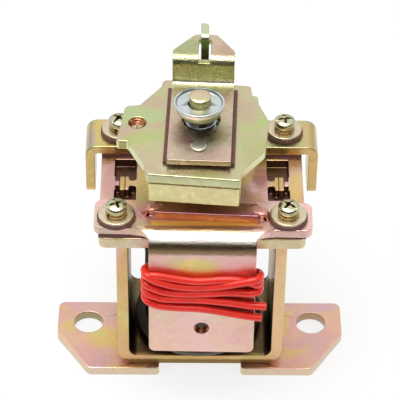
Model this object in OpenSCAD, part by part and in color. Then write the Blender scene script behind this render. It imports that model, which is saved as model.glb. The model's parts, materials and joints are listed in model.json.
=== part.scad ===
// Control relay of a truck starter: a coil in an open yoke pulls a sprung contact bridge down.
// +X is to the right, -Y is the front with the coil's terminal tab, +Z is up.
// The origin is midway between the two mounting holes, on the underside of the feet.

/* [Feet] */
// Distance between the two mounting holes
foot_pitch = 80; // [78:0.5:83]
// Diameter of the mounting holes
foot_hole = 10.5; // [6:0.5:11.5]
// Thickness of each foot plate
foot_t = 3.5; // [3:0.1:4.5]
// Width over both feet
feet_w = 102; // [100:0.5:108]
// Open space between the inner ends of the feet
feet_gap = 28.8; // [24:0.2:32]
// How far the feet reach in front of the mounting holes
foot_front = 23.2; // [22:0.2:26]
// How far the feet reach behind the mounting holes
foot_rear = 10.3; // [9:0.1:14]

/* [Yoke] */
// Width over the yoke's legs
yoke_w = 57.9; // [57:0.1:59]
// Width of the yoke's strap, front to back
yoke_d = 39.5; // [37:0.5:42]
// Thickness of the yoke's strap
yoke_t = 4; // [3.6:0.1:4.4]
// Inner radius of the yoke's bends
yoke_bend = 3; // [2:0.1:4]
// Clear height inside the yoke
yoke_clear = 60.2; // [58:0.2:63]
// Length of each tenon, front to back
tenon_l = 6.8; // [5.6:0.1:7.4]

/* [Top plate] */
// How far the top plate reaches beside the screws' centres
plate_side = 5.9; // [5.4:0.1:7]
// Thickness of the top plate
plate_t = 4.4; // [3.6:0.1:5.4]
// Reach of the top plate in front of the coil's axis
plate_front = 29.4; // [29:0.1:31]
// Reach of the top plate behind the coil's axis
plate_rear = 28.2; // [28:0.1:29]
// Corner radius of the top plate
plate_corner = 2.5; // [1:0.5:4]
// Length of the two rear staking windows
rear_window = 8.8; // [7:0.1:9.6]
// Length of the two front staking windows
front_window = 5.2; // [4:0.1:6.4]

/* [Coil] */
// Shift of the coil's axis to the left of the mounting holes' midpoint
axis_left = 0.6; // [0:0.1:1]
// Shift of the coil's axis to the front of the mounting holes
axis_front = 1; // [0.5:0.1:1.5]
// Diameter of the taped winding
winding_dia = 38; // [34:0.2:40]
// Diameter of the bobbin's flanges
flange_dia = 44.8; // [41:0.2:45.6]
// Thickness of the bobbin's flanges
flange_t = 2.2; // [1.5:0.1:2.4]
// Thickness of the seat washer under the bobbin
coil_seat_t = 2; // [1:0.1:3]

/* [Plunger] */
// Diameter of the plunger and of the fixed core
plunger_dia = 14; // [12:0.2:15]
// Full stroke of the plunger
stroke = 6.1; // [5.6:0.1:6.1]
// Height of the fixed core above the yoke's floor
core_h = 22; // [20:0.5:26]
// Diameter of the plunger's stem
stem_dia = 11; // [10:0.1:11.6]
// Diameter of the collar under the bridge's bush
collar_dia = 16; // [14:0.2:18]
// Diameter of the stud
stud_dia = 7.2; // [6.6:0.1:7.6]
// How far the stud stands above the spring cup
stud_proud = 3.5; // [2:0.1:5]

/* [Springs] */
// Wire of the return spring
return_wire = 0.9; // [0.7:0.1:1.1]
// Outer diameter of the return spring
return_od = 6.4; // [5.6:0.1:6.8]
// Turns of the return spring
return_turns = 12; // [8:1:13]
// Depth of the return spring's pockets in core and plunger
pocket_h = 14; // [12:0.5:16]
// Wire of the contact spring
contact_wire = 1.1; // [0.9:0.1:1.2]
// Outer diameter of the contact spring
contact_od = 10.6; // [10.2:0.1:10.8]
// Space for the contact spring between its seat and the cup
contact_room = 8.3; // [8:0.1:9.5]
// Turns of the contact spring
contact_turns = 4; // [3:1:4]

/* [Front terminal] */
// Thickness of both terminals' strip
strip_t = 3.2; // [2.8:0.1:3.6]
// Thickness of the insulating sheets
sheet_t = 1.2; // [0.8:0.1:1.6]
// How far the front terminal's ears reach beside the screws' centres
ear_side = 7.7; // [7:0.1:9]
// Depth of the front terminal's ears, front to back
ears_d = 14.2; // [13.6:0.1:15.4]
// Width of the tab
tab_w = 35.7; // [34:0.1:36.5]
// Height of the tab's lower edge above the feet's underside
tab_bottom = 24.7; // [22:0.1:28]
// Inner radius of the tab's bend
tab_bend = 2.3; // [1.8:0.1:3]
// Radius where the ears run into the tab
tab_fillet = 2; // [1:0.1:3]
// Height of the tab's threaded hole above the feet's underside
tab_hole_h = 36.1; // [33:0.1:40]
// Diameter of the tab's threaded hole
tab_hole = 5; // [4:0.1:5.2]
// Sideways shift of the front terminal to the right
terminal_right = 1.3; // [0:0.1:1.6]
// Turn of the front terminal about the coil's axis, in degrees
terminal_turn = 1; // [0:0.1:1.4]

/* [Contacts] */
// Thickness of the copper contact bars
contact_t = 3.1; // [2.5:0.1:3.8]
// Depth of the copper contact bars, front to back
contact_d = 6.4; // [5.4:0.1:7]
// Length of the copper contact bars
contact_l = 35; // [32:0.2:36]
// Turn of the front contact bar on its terminal, in degrees
contact_turn = 2; // [0:0.1:2.6]
// Open gap between the bridge's blocks and the contact bars
contact_gap = 4.6; // [4.6:0.1:5]

/* [Rear terminal] */
// How far the rear terminal reaches beside the screws' centres
rear_side = 11.6; // [10.8:0.1:13]
// Depth of the rear terminal's bar, front to back
rear_d = 14.9; // [14:0.1:15.4]
// Length of the bent legs below the bar's top
rear_leg = 21.3; // [16:0.1:26]
// Inner radius of the bar's bends
rear_bend = 1; // [0.6:0.1:2]

/* [Screws] */
// Distance between the left and the right screws
screw_pitch = 57; // [56:0.1:58]
// Diameter of the screws
screw_dia = 4; // [3:0.1:4.6]
// Diameter of the screws' heads
head_dia = 7.1; // [6.6:0.1:8]
// Height of the screws' heads
head_h = 2.8; // [2.2:0.1:3.4]
// Diameter of the fibre washers
fibre_dia = 12.9; // [12:0.1:13.4]
// Thickness of the fibre washers
fibre_t = 1.3; // [0.8:0.1:1.8]
// Diameter of the flat steel washers
washer_dia = 12; // [9:0.1:12.6]
// Thickness of the flat steel washers
washer_t = 1; // [0.6:0.1:1.4]
// Thickness of the spring washers
lock_t = 1.6; // [1:0.1:2]

/* [Bridge] */
// Thickness of the bridge plate
bridge_t = 3.6; // [3.2:0.1:4.2]
// Width over the middle of the bridge
bridge_w = 44.6; // [42:0.2:46]
// Reach of the bridge in front of the stud
bridge_front = 25.6; // [25.1:0.1:26.2]
// Reach of the bridge behind the stud
bridge_rear = 24.3; // [23.6:0.1:24.5]
// Width of the bridge's front and rear lugs
lug_w = 31.2; // [30.8:0.1:31.6]
// Reach of the bridge's left ear from the stud
ear_reach = 27.4; // [26.6:0.1:28.5]
// Diameter of the ear's threaded hole
ear_hole = 5.8; // [4.8:0.1:6]
// Turn of the bridge about the stud, in degrees
bridge_turn = 5.5; // [0:0.1:6]
// Height of the contact blocks under the bridge
block_h = 7.8; // [7:0.1:8.6]
// Width of the contact blocks
block_w = 30.2; // [27:0.1:30.6]
// Depth of the contact blocks, front to back
block_d = 8.5; // [7:0.1:9.5]

/* [Guide bracket] */
// Thickness of the guide bracket
guide_t = 2; // [1.6:0.1:2.2]
// Width of the guide bracket
guide_w = 21; // [20:0.1:22]
// Reach of the guide bracket in front of the stud
guide_front = 20.8; // [19.8:0.1:21.4]
// Distance of the bracket's upright part behind the stud
riser_y = 19.8; // [19:0.1:20.2]
// Height of the guide bracket
guide_h = 12.3; // [11:0.1:13.4]
// Width of the slot in the bracket's head
slot_w = 4.2; // [4.1:0.1:4.6]
// Turn of the guide bracket about the stud, in degrees
guide_turn = 2.4; // [2.2:0.1:2.6]
// Thickness of the fibre sheet on the bridge
bridge_sheet_t = 1.2; // [0.8:0.1:1.6]
// How far the fibre sheet stands out beside the bracket
sheet_margin = 1.3; // [0.5:0.1:1.8]
// Head diameter of the bracket's rivet
rivet_head = 5.4; // [5:0.1:6]

/* [Guide strip] */
// Width of the guide strip
guide_strip_w = 2.7; // [2.2:0.1:2.8]
// Thickness of the guide strip
guide_strip_t = 1.5; // [1:0.1:1.6]
// Height of the guide strip's hook above the top plate
guide_strip_h = 40; // [38.5:0.1:42]
// Reach of the guide strip's hook to the rear, from the strip's front face
strip_hook = 7.6; // [5:0.1:9]
// Inner radius of the hook's bend
strip_bend = 0.6; // [0.4:0.1:1]

/* [Spring cup] */
// Diameter of the spring cup
cup_dia = 17; // [15:0.1:18]
// Height of the cup's rim above its floor
cup_rim = 0.5; // [0.4:0.1:1]
// Height of the cup's floor above the contact spring
cup_h = 5.2; // [4.8:0.1:6]
// Diameter of the cup's hub
cup_hub = 10.4; // [9.6:0.1:10.8]

/* [Leads] */
// Diameter of the red leads
lead_dia = 2.9; // [2.2:0.05:2.9]
// Step from one strand to the next below it
strand_step = 3.5; // [3.4:0.05:3.5]
// Height of the uppermost strand at the front of the tab
strand_top = 62; // [60:0.1:62]
// Bulge of the strands in front of and behind the tab
strand_bulge = 1.8; // [0.6:0.1:2.2]
// How far the cut ends reach past the tab's side
lead_end = 3.6; // [2.5:0.1:4.5]

/* [Hidden] */
$fn = 96;

// Clearances
slide = 0.05;       // round running and seated fits, on the radius
free = 0.3;         // between parts that pass each other
cut = 1;            // how far a cutting shape runs past what it cuts

// Heights above the underside of the feet
floor_z = foot_t + yoke_t;
plate_z = floor_z + yoke_clear;
plate_top = plate_z + plate_t;
strip_z = plate_top + sheet_t;
strip_top = strip_z + strip_t;
contact_top = strip_top + contact_t;
fibre_top = strip_top + fibre_t;
washer_top = fibre_top + washer_t;
head_z = washer_top + lock_t;
bridge_z = contact_top + contact_gap + block_h;
bridge_top = bridge_z + bridge_t;
guide_z = bridge_top + bridge_sheet_t;
guide_top = guide_z + guide_t;
head_top = guide_z + guide_h;
window_z = plate_z + 1.2;
hook_z = plate_top + guide_strip_h;
bush_z = bridge_z - 2.5;
collar_z = bush_z - 3;
seat_z = bridge_z - 0.5;
seat_top = seat_z + 1;
cup_z = seat_top + contact_room;
cup_floor = cup_z + cup_h;
cup_lip = cup_floor - 0.7;
stud_z = collar_z - 10;
core_top = floor_z + core_h;
plunger_z = core_top + stroke + free;

// Sizes that follow from the ones above
plate_w = screw_pitch + 2 * plate_side;
ears_w = screw_pitch + 2 * ear_side;
rear_w = screw_pitch + 2 * rear_side;
core_spigot = 9;
core_rivet = 13;
pocket_dia = return_od + 2 * free;
sleeve_od = plunger_dia + 2 * slide + 1.2;
bobbin_bore = sleeve_od + 2 * slide;
bobbin_od = bobbin_bore + 2.6;
stud_bore = stud_dia + 2 * slide;
bush_well = contact_od + 0.5;
bridge_bore = bush_well + 1.5;
bush_flange = bridge_bore + 4.4;
well_dia = bridge_bore + 0.2;
well_back = 0.8;
stem_bore = stem_dia + 2 * free;
bush_dia = screw_dia + 2.4;
tenon_t = 1.8;
tenon_x = yoke_w / 2 - 1.05;
tenon_y = -axis_front - 1.35;
terminal_y = plate_front + tab_bend + strip_t;
contact_y = 22.2;
rear_y = 12.4;
guide_bend = 1;
slot_end = 30.5;
head_side = 24.3;
head_reach = 33.4;
sheet_front = 19.35;
sheet_rear = 19;
guide_rivet = [-0.3, -13.8, 0];
strip_x = 0.8;
strip_y = plate_rear - axis_front;
pin_dia = 2;
claw_w = 3;
claw_t = 1.5;
claw_cap = 1.3;
stop_dia = 24;

// Four screw places from the coil's axis in depth and from the middle of the feet in width
screw_places = [[-1, -24], [1, -24], [-1, 20.3], [1, 20.3]];

// Rounds each corner of a polygon to its own radius; corners are [x, y, radius]
function unit(v) = v / norm(v);
function arc_of(p, c, n) =
    let (at = [c.x, c.y], u = unit([p.x, p.y] - at), v = unit([n.x, n.y] - at))
    let (half = acos(u * v) / 2, centre = at + unit(u + v) * c[2] / sin(half))
    let (from = at + u * c[2] / tan(half) - centre, sweep = -sign(cross(u, v)) * (180 - 2 * half))
    c[2] == 0 ? [at] : [for (i = [0:6]) let (a = sweep * i / 6)
        centre + [from.x * cos(a) - from.y * sin(a), from.x * sin(a) + from.y * cos(a)]];
function rounded(c) = let (n = len(c))
    [for (i = [0:n - 1]) each arc_of(c[(i + n - 1) % n], c[i], c[(i + 1) % n])];

// One unbroken tube along a path that never runs upright
function tube_ring(p, t, r, m) = let (s = unit(cross(t, [0, 0, 1])), u = cross(s, t))
    [for (k = [0:m - 1]) p + r * (cos(360 * k / m) * s + sin(360 * k / m) * u)];
module tube(path, d, m = 6) {
    n = len(path);
    tangents = [for (i = [0:n - 1]) unit(path[min(n - 1, i + 1)] - path[max(0, i - 1)])];
    rings = [for (i = [0:n - 1]) each tube_ring(path[i], tangents[i], d / 2, m)];
    walls = [for (i = [0:n - 2], k = [0:m - 1]) let (a = i * m + k, b = i * m + (k + 1) % m)
        each [[a, b, b + m], [a, b + m, a + m]]];
    first = [for (k = [1:m - 2]) [0, k + 1, k]];
    last = [for (k = [1:m - 2]) (n - 1) * m * [1, 1, 1] + [0, k, k + 1]];
    polyhedron(rings, concat(walls, first, last));
}

// Least gap between strands of one path, or between two paths
function self_gap(p, d, skip) = min([for (i = [0:len(p) - 1 - skip], j = [i + skip:len(p) - 1])
    norm(p[i] - p[j])]) - d;
function pair_gap(p, q, d) = min([for (a = p, b = q) norm(a - b)]) - d;

// Centre line of a compression spring between two heights
function spring_path(od, wire, turns, z0, z1) = [for (i = [0:turns * 8])
    [(od - wire) / 2 * cos(45 * i), (od - wire) / 2 * sin(45 * i),
        z0 + wire / 2 + (z1 - z0 - wire) * i / turns / 8]];
return_path = spring_path(return_od, return_wire, return_turns, core_top - pocket_h, plunger_z + pocket_h);
contact_path = spring_path(contact_od, contact_wire, contact_turns, seat_top, cup_z);
echo(return_spring_gap = self_gap(return_path, return_wire, 6));
echo(contact_spring_gap = self_gap(contact_path, contact_wire, 6));

module at_axis() translate([-axis_left, -axis_front, 0]) children();
module at_terminal() at_axis() rotate(-terminal_turn) translate([terminal_right, 0, 0]) children();
module at_bridge() at_axis() rotate(-bridge_turn) children();
module at_guide() at_axis() rotate(-guide_turn) children();
module at_screws() for (p = screw_places) translate([p.x * screw_pitch / 2, p.y - axis_front, 0]) children();
module both() for (s = [0, 1]) mirror([s, 0, 0]) children();
module box(x0, x1, y0, y1, z0, z1) translate([x0, y0, z0]) cube([x1 - x0, y1 - y0, z1 - z0]);
module rod(d, z0, z1) translate([0, 0, z0]) cylinder(d = d, h = z1 - z0);
module plate(corners, z0, z1) translate([0, 0, z0]) linear_extrude(z1 - z0) polygon(rounded(corners));
module ring(od, id, z0, z1) difference() {
    rod(od, z0, z1);
    rod(id, z0 - cut, z1 + cut);
}

// Quarter of a bent strip: axis along X, from straight up to straight forward
module bend(r_in, t, l) intersection() {
    rotate([0, 90, 0]) difference() {
        cylinder(r = r_in + t, h = l);
        translate([0, 0, -cut]) cylinder(r = r_in, h = l + 2 * cut);
    }
    translate([0, -r_in - t, 0]) cube([l, r_in + t, r_in + t]);
}

// Mounting feet: flat plates with a slanting front corner, spot-welded under the yoke's floor
module foot() difference() {
    plate([[feet_gap / 2, foot_rear, 0], [feet_w / 2, foot_rear, 2.5], [feet_w / 2, -5.5, 2.5],
        [feet_w / 2 - 11.5, -foot_front, 2.5], [feet_gap / 2, -foot_front, 1.5]], 0, foot_t);
    translate([foot_pitch / 2, 0, 0]) rod(foot_hole, -cut, foot_t + cut);
}
module right_foot() color("darkkhaki") foot();
module left_foot() color("darkkhaki") mirror([1, 0, 0]) foot();

// Yoke: one strap bent to a U, with a half-thick tenon on each leg
module yoke() color("burlywood") {
    w = yoke_w / 2;
    r = yoke_bend + yoke_t;
    rear = yoke_d / 2 - axis_front;
    difference() {
        box(r - w, w - r, rear - yoke_d, rear, foot_t, floor_z);
        at_axis() rod(core_spigot + 2 * slide, foot_t - cut, floor_z + cut);
    }
    both() {
        box(w - yoke_t, w, rear - yoke_d, rear, foot_t + r, plate_z);
        translate([w - r, rear, foot_t + r]) rotate([180, 0, -90]) bend(yoke_bend, yoke_t, yoke_d);
        tenon(0, plate_top);
    }
}
module tenon(grow, top) box(tenon_x - tenon_t - grow, tenon_x + grow, tenon_y - tenon_l / 2 - grow,
    tenon_y + tenon_l / 2 + grow, plate_z - cut, top);

// Top plate: punched pockets before and behind each tenon leave a finger beside it
module window(l) {
    x0 = yoke_w / 2 - 6.6;
    box(x0, x0 + 7.3, 0, l, window_z, plate_top + cut);
    box(x0 + 5.6, x0 + 7, -2.2, cut, window_z, plate_top + cut);
    box(x0, x0 + 2.4, -0.9, cut, window_z, plate_top + cut);
    translate([x0 + 1.2, -0.9, 0]) rod(2.4, window_z, plate_top + cut);
}
module top_plate() color("tan") difference() {
    w = plate_w / 2;
    y = -plate_front - axis_front;
    plate([[-w, y, plate_corner], [w, y, plate_corner],
        [w, strip_y, plate_corner], [-w, strip_y, plate_corner]], plate_z, plate_top);
    at_axis() rod(sleeve_od + 2 * slide, plate_z - cut, plate_top + cut);
    both() {
        tenon(slide, plate_top + cut);
        translate([0, tenon_y + tenon_l / 2, 0]) window(rear_window);
        translate([0, tenon_y - tenon_l / 2, 0]) mirror([0, 1, 0]) window(front_window);
    }
    at_screws() rod(screw_dia + 2 * slide, plate_z - cut, plate_top + cut);
    strip_pins(pin_dia + 2 * slide);
}

// Magnet: fixed core, brass sleeve, bobbin and taped winding
module core() color("gray") at_axis() difference() {
    union() {
        rod(plunger_dia, floor_z, core_top);
        rod(core_spigot, foot_t, floor_z + cut);
        rod(core_rivet, foot_t - 1.2, foot_t);
    }
    rod(pocket_dia, core_top - pocket_h, core_top + cut);
}
module guide_sleeve() color("gold") at_axis() ring(sleeve_od, plunger_dia + 2 * slide, floor_z, plate_top);
module coil_seat_washer() color("saddlebrown") at_axis()
    ring(flange_dia - 8, bobbin_bore, floor_z, floor_z + coil_seat_t);
module bobbin() color("dimgray") at_axis() difference() {
    union() {
        rod(bobbin_od, floor_z + coil_seat_t, plate_z);
        rod(flange_dia, floor_z + coil_seat_t, floor_z + coil_seat_t + flange_t);
        rod(flange_dia, plate_z - flange_t, plate_z);
    }
    rod(bobbin_bore, floor_z, plate_z + cut);
}
module coil_winding() color("black") difference() {
    at_axis() ring(winding_dia, bobbin_od + 2 * slide, floor_z + coil_seat_t + flange_t, plate_z - flange_t);
    at_terminal() for (i = [0, 1]) translate([-terminal_right, 0, lead_z(3, i) - lead_drop])
        rotate([90, 0, lead_out]) translate([0, 0, winding_dia / 2 - socket_h])
            cylinder(d = lead_dia + 2 * slide, h = 9);
}
module return_spring() color("silver") at_axis() tube(return_path, return_wire);
module stop_ring() color("silver") at_axis() ring(stop_dia, stem_bore, plate_top, plate_top + 2);

// Insulating sheets under the two terminals
module sheet(y0, y1) color("saddlebrown") difference() {
    box(-plate_w / 2, plate_w / 2, y0, y1, plate_top, strip_z);
    at_screws() rod(bush_dia + 2 * slide, plate_top - cut, strip_z + cut);
}
module front_insulator() sheet(free - plate_front - axis_front, ears_d - plate_front - axis_front);
module rear_insulator() sheet(rear_y - axis_front, rear_y + rear_d - axis_front);

// Front terminal: ears over the screws, a tab bent down, and two claws over the contact bar's ends
module front_terminal() color("rosybrown") {
    w = tab_w / 2;
    f = tab_fillet;
    e = ears_w / 2;
    difference() {
        at_terminal() union() {
            plate([[-e, -plate_front, 2.5], [e, -plate_front, 2.5], [e, ears_d - plate_front, 3],
                [-e, ears_d - plate_front, 3]], strip_z, strip_top);
            difference() {
                translate([-w - f, -plate_front, strip_z - tab_bend]) bend(tab_bend, strip_t, 2 * (w + f));
                for (s = [-1, 1]) {
                    translate([s * (w + f), -plate_front - f, 0]) rod(2 * f, tab_bottom, strip_top + cut);
                    box(s * (w + f / 2) - f / 2 - (s < 0 ? cut : 0),
                        s * (w + f / 2) + f / 2 + (s > 0 ? cut : 0),
                        -terminal_y - cut, -plate_front - f, tab_bottom, strip_top + cut);
                }
            }
            translate([0, -terminal_y, 0]) rotate([90, 0, 0]) mirror([0, 0, 1])
                plate([[-w, tab_bottom, 2.1], [w, tab_bottom, 2.1], [w, strip_z - tab_bend, 0],
                    [-w, strip_z - tab_bend, 0]], 0, strip_t);
            at_contact() both() claw();
        }
        at_screws() rod(bush_dia + 2 * slide, strip_z - cut, strip_top + cut);
        at_terminal() {
            translate([0, 0, tab_hole_h]) rotate([90, 0, 0]) cylinder(d = tab_hole, h = terminal_y + cut);
            at_contact() for (s = [-1, 1]) {
                translate([s * 10, 0, 0]) rod(peg_dia + 2 * slide, strip_z - cut, strip_top + cut);
                translate([s * (contact_l / 2 + claw_t + 0.9), 0, 0])
                    rod(claw_w, strip_z - cut, strip_top + cut);
            }
        }
    }
}
module at_contact() translate([1.1, -contact_y, 0]) rotate(-contact_turn) children();
peg_dia = 4;
module claw() {
    x = contact_l / 2 + slide;
    box(x, x + claw_t, -claw_w / 2, claw_w / 2, strip_top - cut, contact_top - 0.1);
    claw_tip(x, 0, contact_top - 0.1);
}
module claw_tip(x, grow, top) {
    box(x - 1, x + claw_t, -claw_w / 2 - grow, claw_w / 2 + grow, contact_top - claw_cap, top);
    translate([x - 1, 0, 0]) rod(claw_w + 2 * grow, contact_top - claw_cap, top);
}

// Copper contact bars, each riveted to its terminal by two pegs, the front one with a ledge for a claw
// at each end
module bar(ledge) {
    w = contact_l / 2;
    d = contact_d / 2;
    difference() {
        plate([[-w, -d, 0.6], [w, -d, 0.6], [w, d, 1.5], [-w, d, 1.5]], strip_top, contact_top);
        if (ledge) both() claw_tip(w + slide, slide, contact_top + cut);
    }
    for (s = [-10, 10]) translate([s, 0, 0]) rod(peg_dia, strip_z, strip_top + cut);
}
module front_contact() color("sienna") at_terminal() at_contact() bar(true);
module at_rear_contact() translate([0, rear_y + rear_d / 2 - axis_front, 0]) children();
module rear_contact() color("sienna") at_rear_contact() bar(false);

// Rear terminal: a bar whose two ends are bent down
module rear_terminal() color("rosybrown") {
    r = rear_bend + strip_t;
    x = rear_w / 2 - r;
    y = rear_y - axis_front;
    difference() {
        union() {
            box(-x, x, y, y + rear_d, strip_z, strip_top);
            both() {
                translate([x, y, strip_top - r]) rotate([0, 0, 90]) bend(rear_bend, strip_t, rear_d);
                translate([x + rear_bend, y, strip_top - r]) rotate([0, 90, 0])
                    plate([[0, 0, 0], [rear_leg - r, 0, 3], [rear_leg - r, rear_d, 3], [0, rear_d, 0]],
                        0, strip_t);
            }
        }
        at_screws() rod(bush_dia + 2 * slide, strip_z - cut, strip_top + cut);
        at_rear_contact() for (s = [-10, 10]) translate([s, 0, 0])
            rod(peg_dia + 2 * slide, strip_z - cut, strip_top + cut);
    }
}

// Screws with their washers and insulating bushes
module screw_bushes() color("saddlebrown") at_screws()
    ring(bush_dia, screw_dia + 2 * slide, plate_top, strip_top);
module fibre_washers() color("saddlebrown") at_screws()
    ring(fibre_dia, screw_dia + 2 * slide, strip_top, fibre_top);
module flat_washers() color("silver") at_screws()
    ring(washer_dia, screw_dia + 2 * slide, fibre_top, washer_top);
module spring_washers() color("gray") at_screws() difference() {
    ring(head_dia, screw_dia + 2 * slide, washer_top, head_z);
    box(0, head_dia, -0.3, 0.3, washer_top - cut, head_z + cut);
}
module terminal_screws() color("lightgray") at_screws() {
    rod(screw_dia, plate_z, head_z + 0.5);
    rod(head_dia, head_z, head_z + 0.6 * head_h);
    translate([0, 0, head_z + 0.6 * head_h]) cylinder(d1 = head_dia, d2 = head_dia - 2, h = 0.4 * head_h);
}

// Two red leads: out of the winding's front left, round the tab, with cut ends on the right
lead_out = -38;
lead_drop = 1.4;
socket_h = 2.6;
lead_off = lead_dia / 2 + 0.2;
tab_mid = -terminal_y + strip_t / 2;
function loop_side(k) = let (x = tab_w * (k / 5 - 0.5))
    [x, -strip_t / 2 - lead_off - strand_bulge * (1 - pow(2 * x / tab_w, 2))];
function loop_corner(sx, sy, a) = [sx * tab_w / 2 + lead_off * cos(a), sy * strip_t / 2 + lead_off * sin(a)];
loop = [for (a = [90:30:180]) loop_corner(-1, 1, a), for (a = [180:30:270]) loop_corner(-1, -1, a),
    for (k = [1:4]) loop_side(k), for (a = [270:30:360]) loop_corner(1, -1, a),
    for (a = [0:30:90]) loop_corner(1, 1, a), for (k = [1:4]) -loop_side(k)];
loop_steps = [for (k = [0:23]) norm(loop[(k + 1) % 24] - loop[k])];
function run(k) = k == 0 ? 0 : loop_steps[k - 1] + run(k - 1);
function lead_z(m, i) = strand_top - i * strand_step
    - 2 * strand_step * (floor(m / 24) + (run(m % 24) - run(10) + tab_w / 10) / run(24));
function bezier(a, b, c, d, t) = pow(1 - t, 3) * a + 3 * t * pow(1 - t, 2) * b
    + 3 * t * t * (1 - t) * c + pow(t, 3) * d;
function lead_path(i) =
    let (out = [sin(lead_out), -cos(lead_out), 0], z = lead_z(3, i), n = 24 * (2 - i) + 11)
    let (start = [-terminal_right, 0, z - lead_drop] + out * (winding_dia / 2 - socket_h + 0.2))
    let (bent = start + out * (socket_h + 2.7), join = [loop[3].x, loop[3].y + tab_mid, z])
    concat([start], [for (t = [0:0.2:0.9]) bezier(bent, bent + 4 * out, join + [0, 5, 0.2], join, t)],
        [for (m = [3:n]) [loop[m % 24].x, loop[m % 24].y + tab_mid, lead_z(m, i)]],
        [[tab_w / 2 + 0.4, tab_mid - strip_t / 2 - lead_off, lead_z(n + 1, i)],
            [tab_w / 2 + lead_end, tab_mid - strip_t / 2 - lead_off - 0.2, lead_z(n + 1, i) - 0.2]]);
echo(lead_gaps = [self_gap(lead_path(0), lead_dia, 20), self_gap(lead_path(1), lead_dia, 20)]);
echo(gap_between_leads = pair_gap(lead_path(0), lead_path(1), lead_dia));
module lead_1() color("red") at_terminal() tube(lead_path(0), lead_dia);
module lead_2() color("red") at_terminal() tube(lead_path(1), lead_dia);

// Guide strip riveted to the top plate's rear edge
module strip_pins(d) for (s = [-4.5, 4.5])
    translate([strip_x + s, strip_y + guide_strip_t, plate_z + plate_t / 2])
        rotate([90, 0, 0]) cylinder(d = d, h = guide_strip_t + 3);
module guide_strip() color("khaki") {
    w = guide_strip_w / 2;
    r = strip_bend + guide_strip_t;
    difference() {
        translate([strip_x, strip_y, 0]) rotate([90, 0, 0]) mirror([0, 0, 1])
            plate([[-7, plate_z, 1], [7, plate_z, 1], [7, plate_top, 1.5], [w, plate_top, 1],
                [w, hook_z - r, 0], [-w, hook_z - r, 0], [-w, plate_top, 1], [-7, plate_top, 1.5]],
                0, guide_strip_t);
        strip_pins(pin_dia + 2 * slide);
    }
    translate([strip_x - w, strip_y + r, hook_z - r]) bend(strip_bend, guide_strip_t, 2 * w);
    translate([strip_x, strip_y, 0])
        plate([[-w, r, 0], [w, r, 0], [w, strip_hook - 1, 0.3], [w - 0.8, strip_hook, 0.3],
            [-w, strip_hook, 0.4]], hook_z - guide_strip_t, hook_z);
}
module guide_strip_rivets() color("silver") {
    strip_pins(pin_dia);
    for (s = [-4.5, 4.5]) translate([strip_x + s, strip_y + guide_strip_t + 0.8, plate_z + plate_t / 2])
        rotate([90, 0, 0]) cylinder(d = 1.8 * pin_dia, h = 0.8);
}

// Plunger with its collar, stud and spring cup
module plunger() color("gray") at_axis() difference() {
    union() {
        rod(plunger_dia, plunger_z, plate_top);
        rod(stem_dia, plate_top - cut, collar_z);
    }
    rod(pocket_dia, plunger_z - cut, plunger_z + pocket_h);
    rod(stud_bore, stud_z, collar_z + cut);
}
module plunger_collar() color("silver") at_axis() ring(collar_dia, stud_bore, collar_z, bush_z);
module stud() color("khaki") at_axis() rod(stud_dia, stud_z, cup_floor + stud_proud);
module spring_cup() color("lightsteelblue") at_axis() {
    h = cup_hub / 2;
    r = cup_dia / 2;
    rotate_extrude() polygon(concat([[stud_bore / 2, cup_z], [h, cup_z]],
        [for (a = [0:15:90]) [h + (r - h) * sin(a), cup_lip - 1.4 * cos(a)]],
        [[r, cup_floor + cup_rim], [r - 0.9, cup_floor + cup_rim], [r - 1.2, cup_floor],
            [stud_bore / 2, cup_floor]]));
}
module contact_spring() color("silver") at_axis() tube(contact_path, contact_wire);

// Bush and seat: the bridge lies on the bush's flange and can turn a little on its collar; the contact
// spring stands inside the collar on its own seat washer
module bridge_bush() color("saddlebrown") at_axis() difference() {
    union() {
        rod(bush_flange, bush_z, bridge_z);
        rod(bridge_bore - 2 * slide, bush_z, bridge_top);
    }
    rod(bush_well, seat_z, bridge_top + cut);
    rod(stud_bore, bush_z - cut, bridge_top);
}
module spring_seat() color("silver") at_axis() ring(bush_well - 2 * slide, stud_bore, seat_z, seat_top);

// Contact bridge: an eight-sided plate with two lugs, a left ear and a contact block under each lug
module bridge_plate() color("tan") at_bridge() {
    l = lug_w / 2;
    w = bridge_w / 2;
    difference() {
        plate([[-l, -bridge_front, 1], [l, -bridge_front, 1], [l - 0.3, -20.8, 1.5], [w, -9.5, 5], [w, 6, 5],
            [l + 2.8, 14.4, 2], [l + 2.1, 18.4, 0.8], [l + 0.2, 19, 0.8], [l - 0.7, bridge_rear - 0.4, 1.2],
            [0.3 - l, bridge_rear, 2], [0.3 - l, 20.7, 1.5], [0.6 - w, 9.7, 1.5], [1 - ear_reach, 8.9, 2],
            [-ear_reach, -9.7, 1], [-w - 1.2, -9.6, 1.2], [-l - 1.3, -20.8, 1.5]], bridge_z, bridge_top);
        rod(bridge_bore, bridge_z - cut, bridge_top + cut);
        translate([6 - ear_reach, 0.4, 0]) rod(ear_hole, bridge_z - cut, bridge_top + cut);
    }
}
module contact_block(y) at_bridge() plate([[-block_w / 2, y, 0.8], [block_w / 2, y, 0.8],
    [block_w / 2, y + block_d, 0.8], [-block_w / 2, y + block_d, 0.8]], bridge_z - block_h, bridge_z);
module front_block() color("sienna") contact_block(-bridge_front);
module rear_block() color("sienna") contact_block(bridge_rear - 0.6 - block_d);

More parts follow.
